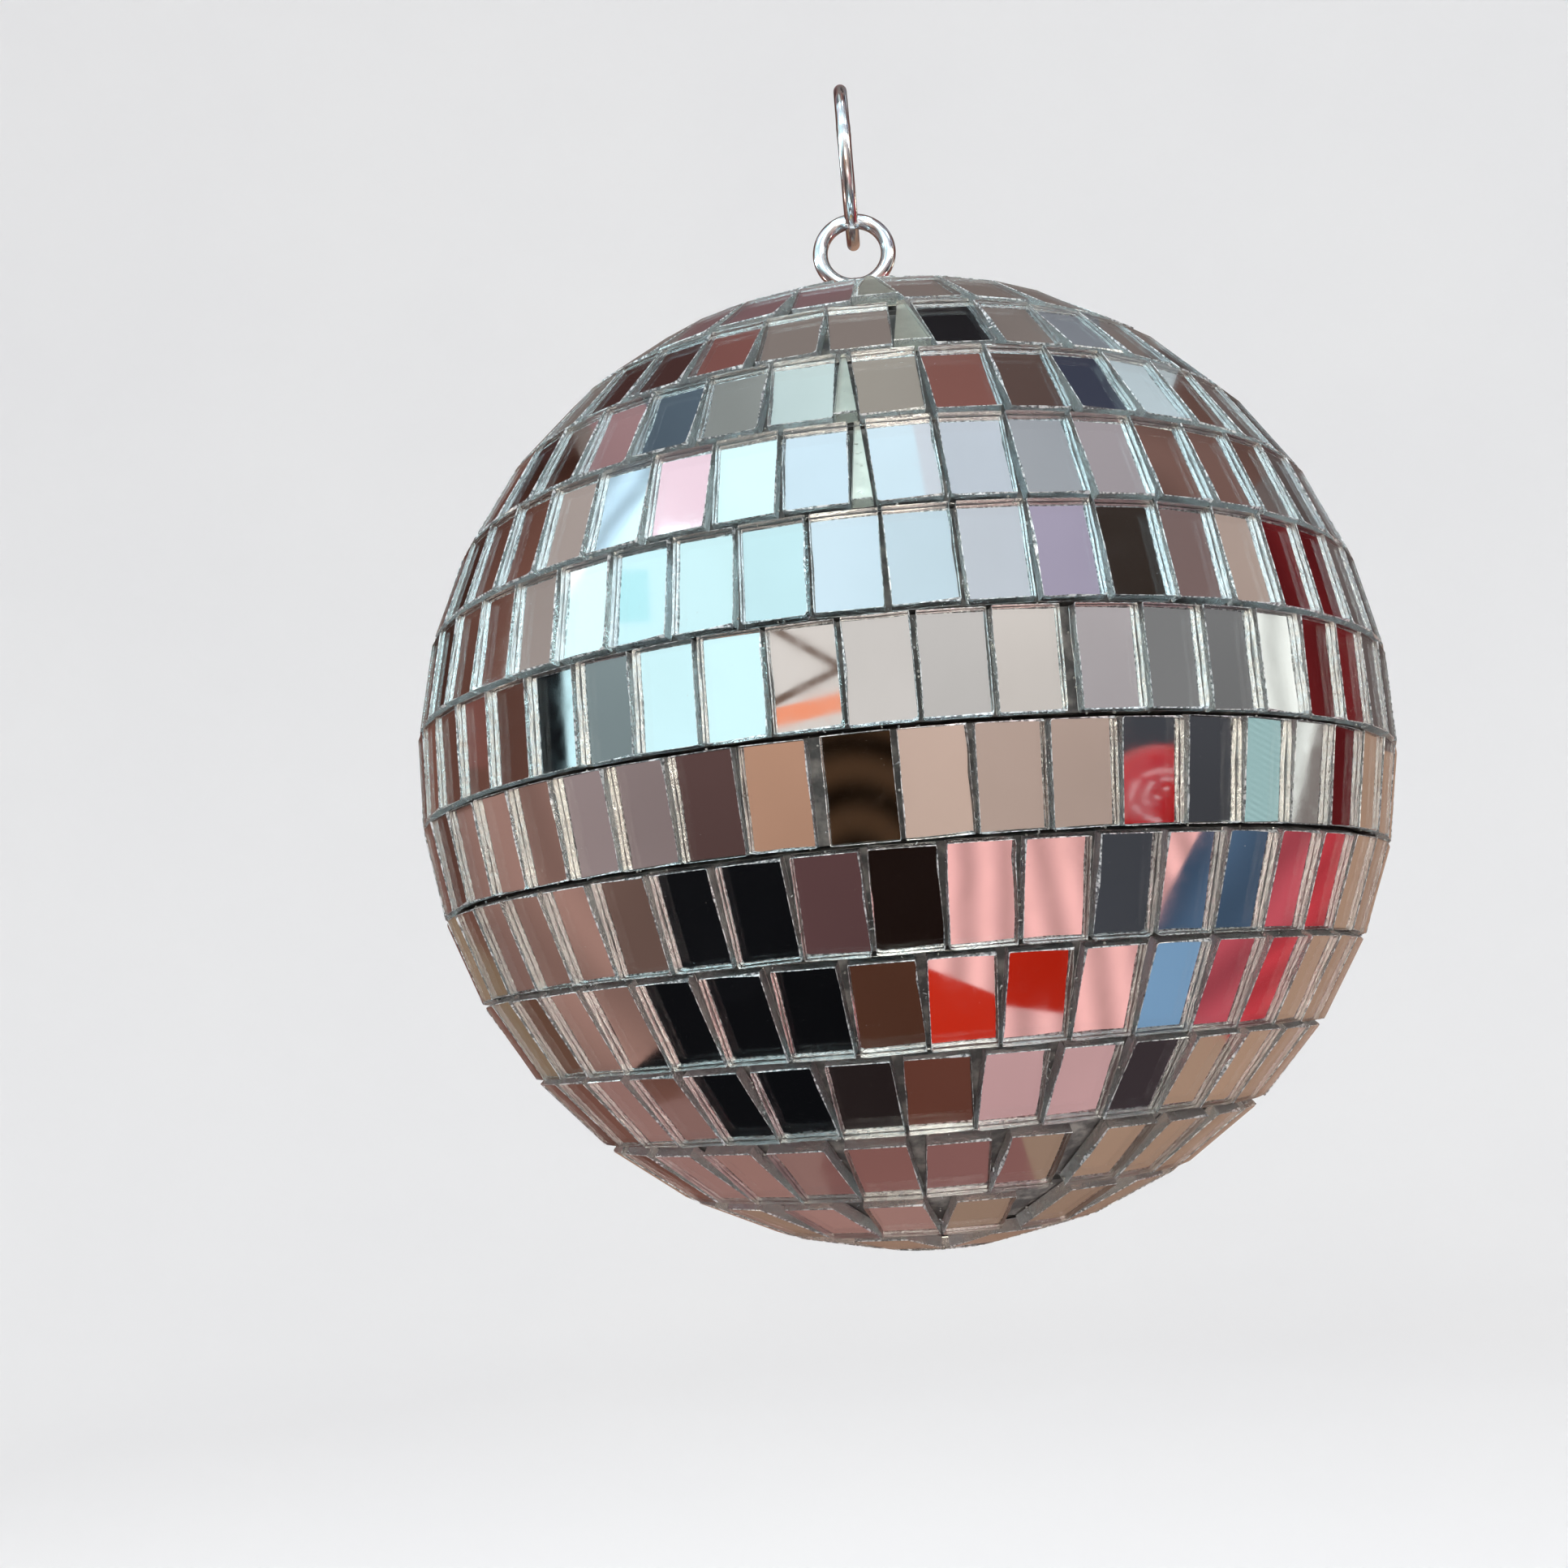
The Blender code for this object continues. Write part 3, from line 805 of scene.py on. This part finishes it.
def add_turned(bm, profile, radius):
    """A round solid, from pairs of radius and height above the ball's centre. Its corners are eased."""
    profile = eased([Vector((r, h)) * MM for r, h in profile], radius * MM)
    points = [bm.verts.new((p.x, 0, CENTRE.z + p.y)) for p in profile]
    if profile[0].x > 0:
        points.append(points[0])
    edges = [bm.edges.new(pair) for pair in zip(points, points[1:])]
    spin(bm, list(dict.fromkeys(points)) + edges, TURNED_STEPS)


def add_loop(bm, centre, radius, wire, along_x, weld):
    """A loop of round wire standing upright. Its weld is a low bead with a fine line at its middle."""
    bead, bead_spread, line, line_spread = 0.07, 0.11, 0.05, 0.02
    rings = []
    for i in range(AROUND_LOOP):
        turn = math.tau * i / AROUND_LOOP
        off_weld = abs((turn - weld + math.pi) % math.tau - math.pi)
        swell = bead * math.exp(-(off_weld / bead_spread) ** 2)
        thick = wire * (1 + swell - line * math.exp(-(off_weld / line_spread) ** 2))
        ring = []
        for k in range(ROUND_WIRE):
            side = math.tau * k / ROUND_WIRE
            reach, off = radius + thick * math.cos(side), thick * math.sin(side)
            flat, height = reach * math.cos(turn), centre + reach * math.sin(turn)
            ring.append(bm.verts.new((flat, off, height) if along_x else (off, flat, height)))
        rings.append(ring)
    for i in range(AROUND_LOOP):
        for k in range(ROUND_WIRE):
            bm.faces.new((rings[i - 1][k - 1], rings[i][k - 1], rings[i][k], rings[i - 1][k]))


def fitting(node, bm, finish, body):
    """A piece of the hanger, smooth but for its sharp edges, in place of a node."""
    bmesh.ops.remove_doubles(bm, verts=bm.verts, dist=1e-7)
    bmesh.ops.recalc_face_normals(bm, faces=bm.faces)
    piece = as_object(node + "_finished", bm)
    piece.data.shade_smooth()
    piece.data.set_sharp_from_angle(angle=math.radians(45))
    piece.data.materials.append(finish)
    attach(piece, body)
    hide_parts(node)


def hanger():
    """The ring, the eye it hangs from, and the cap and bush the eye turns in."""
    chrome = plated("bright_chrome", (0.90, 0.90, 0.91), (0.74, 0.74, 0.75), 0.05, 0.22)
    brass = plated("turned_brass", (0.86, 0.72, 0.42), (0.66, 0.50, 0.26), 0.14, 0.34)

    bm = bmesh.new()
    low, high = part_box("hanging_ring")
    add_loop(bm, (low.z + high.z) / 2, RING_RADIUS, RING_WIRE, along_x=False, weld=math.pi)
    fitting("hanging_ring", bm, chrome, "ring")

    bm = bmesh.new()
    low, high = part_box("swivel_eye")
    end = (low.z - CENTRE.z) / MM
    profile = [(0, end), (SHANK, end), (SHANK, SHANK_TOP), (COLLAR, SHANK_TOP), (COLLAR, COLLAR_TOP)]
    add_turned(bm, [*profile, (0, COLLAR_TOP)], TURNED_CORNER)
    eye_centre = high.z - EYE_WIRE - EYE_RADIUS
    add_loop(bm, eye_centre, EYE_RADIUS, EYE_WIRE, along_x=True, weld=-math.pi / 2)
    fitting("swivel_eye", bm, chrome, "swivel")

    bm = bmesh.new()
    turns = [math.pi / 2 * i / 10 for i in range(11)]

    def dome(wall):
        reach, rise = CAP_REACH - wall, CAP_TOP - CAP_SHOULDER - wall
        return [(CAP_LAND + reach * math.sin(a), CAP_SHOULDER + rise * math.cos(a)) for a in turns]

    edge = CAP_LAND + CAP_REACH
    rim = [(edge, CAP_RIM), (edge - CAP_WALL, CAP_RIM)]
    profile = [(CAP_HOLE, CAP_TOP), *dome(0), *rim, *dome(CAP_WALL)[::-1], (CAP_HOLE, CAP_TOP - CAP_WALL)]
    add_turned(bm, profile, PRESSED_CORNER)
    fitting("crown_cap", bm, chrome, "ball")

    bm = bmesh.new()
    outside = [(BUSH, BUSH_FOOT), (BUSH, FLANGE_FOOT), (FLANGE, FLANGE_FOOT), (FLANGE, BUSH_TOP)]
    add_turned(bm, [(BORE, BUSH_FOOT), *outside, (BORE, BUSH_TOP)], TURNED_CORNER)
    fitting("stem_bush", bm, brass, "ball")


def finish_hardware():
    """Finishes for the nodes whose own shape shows."""
    core = moulded_core()
    zinc = plated("zinc_plate", (0.72, 0.72, 0.73), (0.55, 0.55, 0.57), 0.25, 0.45)
    finishes = {
        "upper_shell": core,
        "lower_shell": core,
        "load_plate": zinc,
        "bush_nut": zinc,
        "shank_nut": zinc,
        "thrust_washer": natural_nylon(),
    }
    for node, finish in finishes.items():
        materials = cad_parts[node].data.materials
        materials.clear()
        materials.append(finish)


# ------------------------------------------------------------------ camera, lights and surroundings

CAMERA_DISTANCE = 203.2537 * MM
CAMERA_ELEVATION = -8.76
CAMERA_TURN = [math.radians(angle) for angle in (98.42, 4.41, 4.48)]
LENS, SENSOR = 40.36, 36

BAUBLE_RADIUS, BAUBLE_PLACE = 0.032, (54, -13, 0.6)
COVE_RADIUS, COVE_RISE, COVE_CORNER = 2.2, 2.6, 0.9
COVE_DROP = 0.24  # from the ball down to the floor
COVE_MIDDLE = 0.001  # a pinhole
COVE_STEPS = 72
WORLD_STRENGTH = 1.12
ROOM = (0.52, 0.47, 0.45)  # what the mirrors see between the boards

# Boards and cloths that only the mirrors see. They glow: each is a sheet of emitted light painted with the
# colour, light and shade of a lit room, the shade of folds included. Azimuth is 0 in front and grows to the
# right. Width and height are the angles a board fills, seen from the ball. Angles in degrees.
Board = namedtuple(
    "Board",
    "azimuth elevation width height distance colour brightness pattern roll",
    defaults=(1.0, "fade", 0),
)
WINDOW, TAN, ROSE = (0.85, 0.98, 1.00), (0.67, 0.54, 0.46), (0.76, 0.32, 0.36)
BLACK, CHARCOAL, GREY = (0.07, 0.07, 0.08), (0.27, 0.27, 0.29), (0.50, 0.49, 0.49)
BOARDS = {
    "window": Board(-52, 36, 78, 60, 1.00, WINDOW, 1.2),
    "ceiling_cool": Board(-3, 46, 32, 70, 1.05, (0.84, 0.92, 0.97), 1.05),
    "ceiling": Board(25, 46, 32, 70, 1.06, (0.83, 0.85, 0.89)),
    "ceiling_lilac": Board(46, 36, 12, 12, 1.04, (0.70, 0.65, 0.73)),
    "ceiling_end": Board(60, 54, 15, 18, 1.05, (0.68, 0.68, 0.70)),
    "right_wall": Board(66, 46, 36, 44, 1.10, (0.67, 0.63, 0.65)),
    "roof": Board(-66, 78, 22, 14, 0.95, (0.84, 0.91, 0.91)),
    "roof_tan": Board(50, 84, 20, 10, 0.96, (0.62, 0.59, 0.56)),
    "roof_brown": Board(84, 74, 22, 18, 0.92, (0.55, 0.36, 0.33)),
    "roof_dark": Board(103, 67, 12, 9, 0.90, (0.38, 0.30, 0.28)),
    "roof_grey": Board(-97, 71, 14, 8, 0.90, (0.62, 0.63, 0.62), 0.95),
    "front_wall": Board(8, 10, 60, 22, 1.00, (0.86, 0.82, 0.80)),
    "front_lilac": Board(44, 10, 20, 20, 0.99, (0.73, 0.69, 0.70)),
    "left_wall": Board(-130, 0, 70, 130, 1.20, (0.45, 0.30, 0.26), 1.0, "drape"),
    "left_dark": Board(-142, 30, 18, 28, 1.10, (0.30, 0.19, 0.16), 0.9, "drape"),
    "left_red": Board(-113, 13, 12, 8, 1.10, (0.52, 0.33, 0.30)),
    "left_cloth": Board(-104, -22, 40, 44, 0.95, (0.62, 0.47, 0.43), 1.0, "drape"),
    "left_tan": Board(-142, -12, 16, 20, 0.94, (0.57, 0.47, 0.38)),
    "left_rust": Board(-128, -19, 10, 14, 0.93, (0.41, 0.29, 0.24)),
    "left_card": Board(-98, 34, 16, 30, 0.86, (0.68, 0.62, 0.60)),
    "left_pink": Board(-122, 52, 14, 14, 0.85, (0.64, 0.50, 0.51)),
    "left_slate": Board(-110, 61, 12, 12, 0.84, (0.35, 0.40, 0.45)),
    "right_tan": Board(158, -24, 72, 100, 1.25, TAN, 0.95),
    "back_wall": Board(172, 56, 84, 50, 1.30, (0.53, 0.48, 0.46)),
    "back_dark": Board(-151, 46, 18, 20, 1.00, (0.30, 0.20, 0.19)),
    "back_rust": Board(-146, 60, 12, 9, 1.00, (0.51, 0.33, 0.31)),
    "back_black": Board(154, 67, 16, 10, 1.00, (0.14, 0.13, 0.14)),
    "back_slate": Board(150, 47, 13, 12, 1.00, (0.50, 0.51, 0.54)),
    "back_mauve": Board(-173, 44, 20, 12, 1.00, (0.52, 0.40, 0.41)),
    "right_hall": Board(140, 22, 34, 36, 1.15, (0.42, 0.37, 0.36), 1.0, "drape"),
    "below_skin": Board(-150, -48, 40, 40, 0.88, (0.62, 0.46, 0.43)),
    "below_rose": Board(-176, -68, 28, 26, 0.86, (0.55, 0.37, 0.35)),
    "below_pink": Board(98, -68, 20, 24, 0.80, (0.80, 0.62, 0.62)),
    "black_velvet": Board(-52, -38, 32, 30, 0.80, BLACK),
    "black_cloth": Board(-76, -61, 48, 38, 0.82, BLACK, 0.8),
    "nadir_cloth": Board(-76, -84, 20, 12, 0.84, (0.14, 0.11, 0.11)),
    "nadir_brown": Board(40, -86, 10, 8, 0.83, (0.38, 0.22, 0.18)),
    "brown_foot": Board(-12, -64, 12, 14, 0.76, (0.33, 0.20, 0.15)),
    "brown_post": Board(-77, -27, 10, 14, 0.78, (0.44, 0.34, 0.31)),
    "purple_grey": Board(-67, -10, 26, 16, 0.85, (0.57, 0.50, 0.50)),
    "dark_brown": Board(-45, -12, 14, 18, 0.80, (0.38, 0.28, 0.27)),
    "orange_tan": Board(-28, -13, 16, 18, 0.78, (0.78, 0.59, 0.49)),
    "tan_wall": Board(22, -12, 44, 18, 0.90, (0.78, 0.67, 0.62)),
    "lens": Board(-9, -14, 13, 16, 0.60, (0.22, 0.15, 0.10), 1.0, "rings"),
    "mauve": Board(-21, -38, 18, 22, 0.76, (0.39, 0.27, 0.27)),
    "black_post": Board(-1, -40, 14, 20, 0.74, (0.11, 0.07, 0.06)),
    "pink_cloth": Board(45, -47, 70, 46, 0.95, (1.00, 0.73, 0.71), 1.0, "stripes", 25),
    "red_cushion": Board(23, -66.1, 14, 12.6, 0.70, (0.76, 0.17, 0.10), 1.0, "fade", -10),
    "red_cushion_small": Board(42, -54.5, 8, 7, 0.70, (0.76, 0.15, 0.08), 1.0, "fade", 14),
    "charcoal_post": Board(57, -33, 12, 20, 0.70, CHARCOAL),
    "slate_cloth": Board(83, -27, 24, 20, 0.72, (0.30, 0.38, 0.48), 1.0, "drape"),
    "sky_card": Board(90, -45, 16, 13, 0.74, (0.48, 0.61, 0.74)),
    "rose_cloth": Board(109, -31, 20, 34, 0.70, ROSE, 1.0, "drape"),
    "red_scarf": Board(121, -26, 10, 30, 0.69, (0.78, 0.25, 0.28), 1.0, "drape"),
    "dark_foot": Board(119, -52, 14, 14, 0.69, (0.24, 0.20, 0.21)),
    "grey_wall": Board(72, 9, 24, 18, 0.86, GREY),
    "charcoal_wall": Board(65, -9, 24, 14, 0.84, CHARCOAL),
    "striped_card": Board(89, -7, 11, 16, 0.80, (0.66, 0.78, 0.78), 1.0, "stripes", 70),
    "cream_post": Board(94, 4, 10, 28, 0.78, (0.96, 0.95, 0.92), 1.15, "drape"),
    "red_drape": Board(115, 6, 24, 50, 0.79, (0.42, 0.12, 0.13), 1.0, "drape"),
    "black_strip": Board(-84, 11, 11, 18, 0.70, BLACK),
    "green_grey": Board(-67, 10, 14, 18, 0.80, (0.54, 0.59, 0.60)),
    "pink_card": Board(-68, 54, 13, 15, 0.70, (1.00, 0.88, 0.94), 1.15),
    "dark_patch": Board(65, 31, 12, 14, 0.70, (0.22, 0.18, 0.16)),
    "mauve_wall": Board(81, 27, 16, 14, 0.76, (0.49, 0.40, 0.39)),
    "ice_card": Board(79, 36, 9, 10, 0.72, (0.78, 0.82, 0.95), 1.0, "fade", 35),
    "tan_card": Board(97, 26, 12, 16, 0.77, (0.70, 0.61, 0.57)),
    "brown_hall": Board(112, 42, 36, 18, 0.90, (0.47, 0.35, 0.32), 1.0, "drape"),
    "navy_card": Board(115, 57, 16, 12, 0.80, (0.24, 0.25, 0.31)),
    "pale_card": Board(127, 48, 12, 12, 0.78, (0.78, 0.82, 0.84)),
    "cyan_card": Board(-61, 31.5, 2.6, 2, 0.66, (0.78, 0.98, 1.0), 1.15, "plain", 12),
    "blue_card": Board(-87, 49, 9, 12, 0.80, (0.80, 0.92, 1.00), 1.0, "drape"),
    "white_card": Board(-80, 34, 9, 6, 0.66, (1.0, 1.0, 1.0), 1.4, "plain", -25),
    "beam_up": Board(-17.2, 12.5, 7, 0.3, 0.66, (0.42, 0.32, 0.27), 1.0, "plain", -34),
    "beam_down": Board(-17.2, 11, 7, 0.3, 0.66, (0.42, 0.32, 0.27), 1.0, "plain", 22),
    "orange_rail": Board(-18, 10, 6, 0.7, 0.67, (1.0, 0.62, 0.48), 1.0, "plain", 9),
}

# Small bright panes that light the rough edges of the glass, standing between the mirrors' own views:
# azimuth, elevation, width, height, colour and brightness
PANE_DISTANCE = 0.64
PANES = {
    "left": (-99, 18.5, 18, 7, WINDOW, 22),
    "left_high": (-72, 21, 13, 6, WINDOW, 16),
    "front_left": (-38, 23.5, 30, 8, WINDOW, 6),
    "front": (8, 24.5, 36, 9, (0.93, 0.99, 1.0), 5),
    "front_right": (47, 22.5, 22, 9, (0.93, 0.99, 1.0), 5),
    "right": (72, 21, 11, 6, (1.0, 0.97, 0.90), 14),
    "right_far": (126, 9, 5, 5, (1.0, 0.95, 0.86), 14),
    "high": (2, 49, 36, 8, (0.90, 0.99, 1.0), 5),
    "high_left": (-45, 46.5, 20, 8, WINDOW, 6),
    "high_right": (52, 44.5, 13, 6, WINDOW, 8),
    "low": (6, -25.5, 40, 9, (1.0, 0.96, 0.92), 3),
    "lowest": (-5, -51, 28, 8, (1.0, 0.96, 0.90), 4),
    "level": (0, -1, 28, 7, (1.0, 0.96, 0.88), 9),
    "under": (0, -76, 30, 6, (1.0, 0.96, 0.92), 4),
    "low_left": (-99, -13, 8, 6, (1.0, 0.93, 0.86), 8),
    "low_right": (82, -17, 7, 4, (1.0, 0.96, 0.90), 8),
    "top": (-45, 70, 8, 5, WINDOW, 14),
    "top_right": (46, 71, 6, 5, WINDOW, 14),
}
BOARDS.update({
    f"pane_{name}": Board(*place, PANE_DISTANCE, colour, brightness, "plain")
    for name, (*place, colour, brightness) in PANES.items()
})


def board_finish(name, colour, brightness, pattern):
    """A glow, painted with the light and shade it stands for: it fades slowly, falls in painted shade of
    folds or in stripes, or rings out from near the middle.
    """
    material = bpy.data.materials.new(name)
    material.use_nodes = True
    graph = Graph(material.node_tree)
    place = graph.node("ShaderNodeTexCoord").named("Generated")

    def wave(settings, **inputs):
        return graph.node("ShaderNodeTexWave", settings, {"Vector": place, **inputs}).named("Fac")

    if pattern == "plain":
        level = brightness
    elif pattern == "fade":
        level = graph.node("ShaderNodeTexNoise", inputs={"Vector": place, "Scale": 1.4, "Detail": 1.0})
        level = (level * 0.7 + 0.65) * brightness
    elif pattern == "rings":
        place = graph.node("ShaderNodeMapping", inputs={"Vector": place, "Location": (-0.5, -0.4, 0)})
        rings = {"wave_type": "RINGS", "rings_direction": "Z", "wave_profile": "SIN"}
        level = wave(rings, **{"Scale": 2.6, "Phase Offset": 1.6})
        level = (level * 1.6 + 0.25) * brightness
    else:
        # drape: bands of painted shade, the folds of a lit cloth; stripes: a pattern on the cloth
        scale, bend = {"drape": (2.6, 5.0), "stripes": (16.0, 0.8)}[pattern]
        bands = {"wave_type": "BANDS", "bands_direction": "X"}
        level = wave(bands, **{"Scale": scale, "Distortion": bend, "Detail": 2.0, "Detail Scale": 0.8})
        level = (level * 0.5 + 0.68) * brightness
    glow = graph.node("ShaderNodeEmission", inputs={"Color": (*linear(colour), 1), "Strength": level})
    graph.node("ShaderNodeOutputMaterial", inputs={"Surface": glow})
    return material


def from_ball(azimuth, elevation, distance):
    """A place seen from the ball's centre in a direction, in degrees."""
    azimuth, elevation = math.radians(azimuth), math.radians(elevation)
    flat = math.cos(elevation)
    toward = Vector((flat * math.sin(azimuth), -flat * math.cos(azimuth), math.sin(elevation)))
    return CENTRE + distance * toward


def only_mirrored(item):
    """Leave an object to the mirrors."""
    item.visible_camera = False
    item.visible_diffuse = False
    item.visible_shadow = False


def surroundings():
    """Put up the glowing boards and cloths round the ball, with their painted light and shade."""
    for name, board in BOARDS.items():
        bm = bmesh.new()
        bmesh.ops.create_grid(bm, x_segments=1, y_segments=1, size=0.5)
        made = as_object("board_" + name, bm)
        halves = [math.radians(angle / 2) for angle in (board.width, board.height)]
        made.scale = [2 * board.distance * math.tan(half) for half in halves] + [1]
        made.location = from_ball(board.azimuth, board.elevation, board.distance)
        turn = (made.location - CENTRE).to_track_quat("Z", "Y")
        made.rotation_euler = (turn @ Quaternion((0, 0, 1), math.radians(board.roll))).to_euler()
        made.data.materials.append(board_finish(name, board.colour, board.brightness, board.pattern))
        only_mirrored(made)


def glass_bauble():
    """A red ball beside the mirrors, for them to show."""
    bm = bmesh.new()
    bmesh.ops.create_uvsphere(bm, u_segments=48, v_segments=24, radius=BAUBLE_RADIUS)
    bmesh.ops.translate(bm, verts=bm.verts, vec=from_ball(*BAUBLE_PLACE))
    bauble = as_object("red_bauble", bm)
    bauble.data.shade_smooth()
    finish = Finish("red_lacquer", Roughness=0.12, Coat_Weight=0.6)
    cloud = finish.noise(0.02, 2)
    finish.drive(Base_Color=finish.mix(cloud, linear((0.68, 0.04, 0.07)), linear((0.58, 0.03, 0.05))))
    bauble.data.materials.append(finish.material)
    only_mirrored(bauble)


def stage_floor():
    """A pale floor that runs up into a backdrop on every side, below and well clear of the ball."""
    bm = bmesh.new()
    flat = COVE_RADIUS - COVE_CORNER
    turns = [math.pi / 2 * i / 12 for i in range(1, 13)]
    corner = [(flat + COVE_CORNER * math.sin(a), COVE_CORNER - COVE_CORNER * math.cos(a)) for a in turns]
    profile = [(COVE_MIDDLE, 0), (flat, 0), *corner, (COVE_RADIUS, COVE_RISE)]
    floor = CENTRE.z - FACE_RADIUS - COVE_DROP
    points = [bm.verts.new((x, 0, floor + z)) for x, z in profile]
    spin(bm, points + [bm.edges.new(pair) for pair in zip(points, points[1:])], COVE_STEPS)
    bmesh.ops.recalc_face_normals(bm, faces=bm.faces)
    cove = as_object("studio_cove", bm)
    cove.data.shade_smooth()
    finish = Finish("cove_paint", Roughness=0.9)
    cloud = finish.noise(0.4, 2)
    finish.drive(Base_Color=finish.mix(cloud, linear((0.915, 0.915, 0.92)), linear((0.935, 0.935, 0.935))))
    cove.data.materials.append(finish.material)
    cove.visible_glossy = False
    cove.visible_transmission = False


def light(name, azimuth, elevation, distance, size, power, colour):
    """A round lamp, facing the ball, that the mirrors don't show."""
    data = bpy.data.lights.new(name, "AREA")
    data.shape = "DISK"
    data.size = size
    data.energy = power
    data.color = colour
    lamp = bpy.data.objects.new(name, data)
    bpy.context.collection.objects.link(lamp)
    lamp.location = from_ball(azimuth, elevation, distance)
    lamp.rotation_euler = (lamp.location - CENTRE).to_track_quat("Z", "Y").to_euler()
    lamp.visible_camera = False
    lamp.visible_glossy = False
    lamp.visible_transmission = False


def studio():
    scene = bpy.context.scene
    world = bpy.data.worlds.new("studio")
    scene.world = world
    world.use_nodes = True
    graph = Graph(world.node_tree)
    path = graph.node("ShaderNodeLightPath")
    direct = graph.math("MAXIMUM", path.named("Is Camera Ray"), path.named("Is Diffuse Ray"))
    seen = graph.node("ShaderNodeBackground", inputs={"Color": (1, 1, 1, 1), "Strength": WORLD_STRENGTH})
    mirrored = graph.node("ShaderNodeBackground", inputs={"Color": (*linear(ROOM), 1), "Strength": 1.0})
    chosen = graph.node("ShaderNodeMixShader", inputs={0: direct, 1: mirrored, 2: seen})
    graph.node("ShaderNodeOutputWorld", inputs={"Surface": chosen})
    light("key", -50, 42, 0.9, size=0.5, power=8, colour=(0.92, 0.97, 1.0))
    light("fill", 55, 20, 1.0, size=0.7, power=4, colour=(1.0, 0.98, 0.96))
    scene.view_settings.view_transform = "Standard"


def camera():
    data = bpy.data.cameras.new("camera")
    data.lens = LENS
    data.sensor_width = SENSOR
    data.clip_start = 0.01
    made = bpy.data.objects.new("camera", data)
    bpy.context.collection.objects.link(made)
    made.location = from_ball(0, CAMERA_ELEVATION, CAMERA_DISTANCE)
    made.rotation_euler = CAMERA_TURN
    bpy.context.scene.camera = made


def build():
    camera()
    studio()
    surroundings()
    glass_bauble()
    stage_floor()
    glass = (polished_glass(), cut_glass())
    edge = nipped_edge()
    finishes = (*glass, silvering(), edge)
    lay_rows(finishes)
    seam_slivers((*glass, clear_bed(), edge))
    joint_crumbs((dried_glue(), edge))
    pole_mirror(finishes)
    strip_backings(backing_paper())
    hanger()
    finish_hardware()


build()
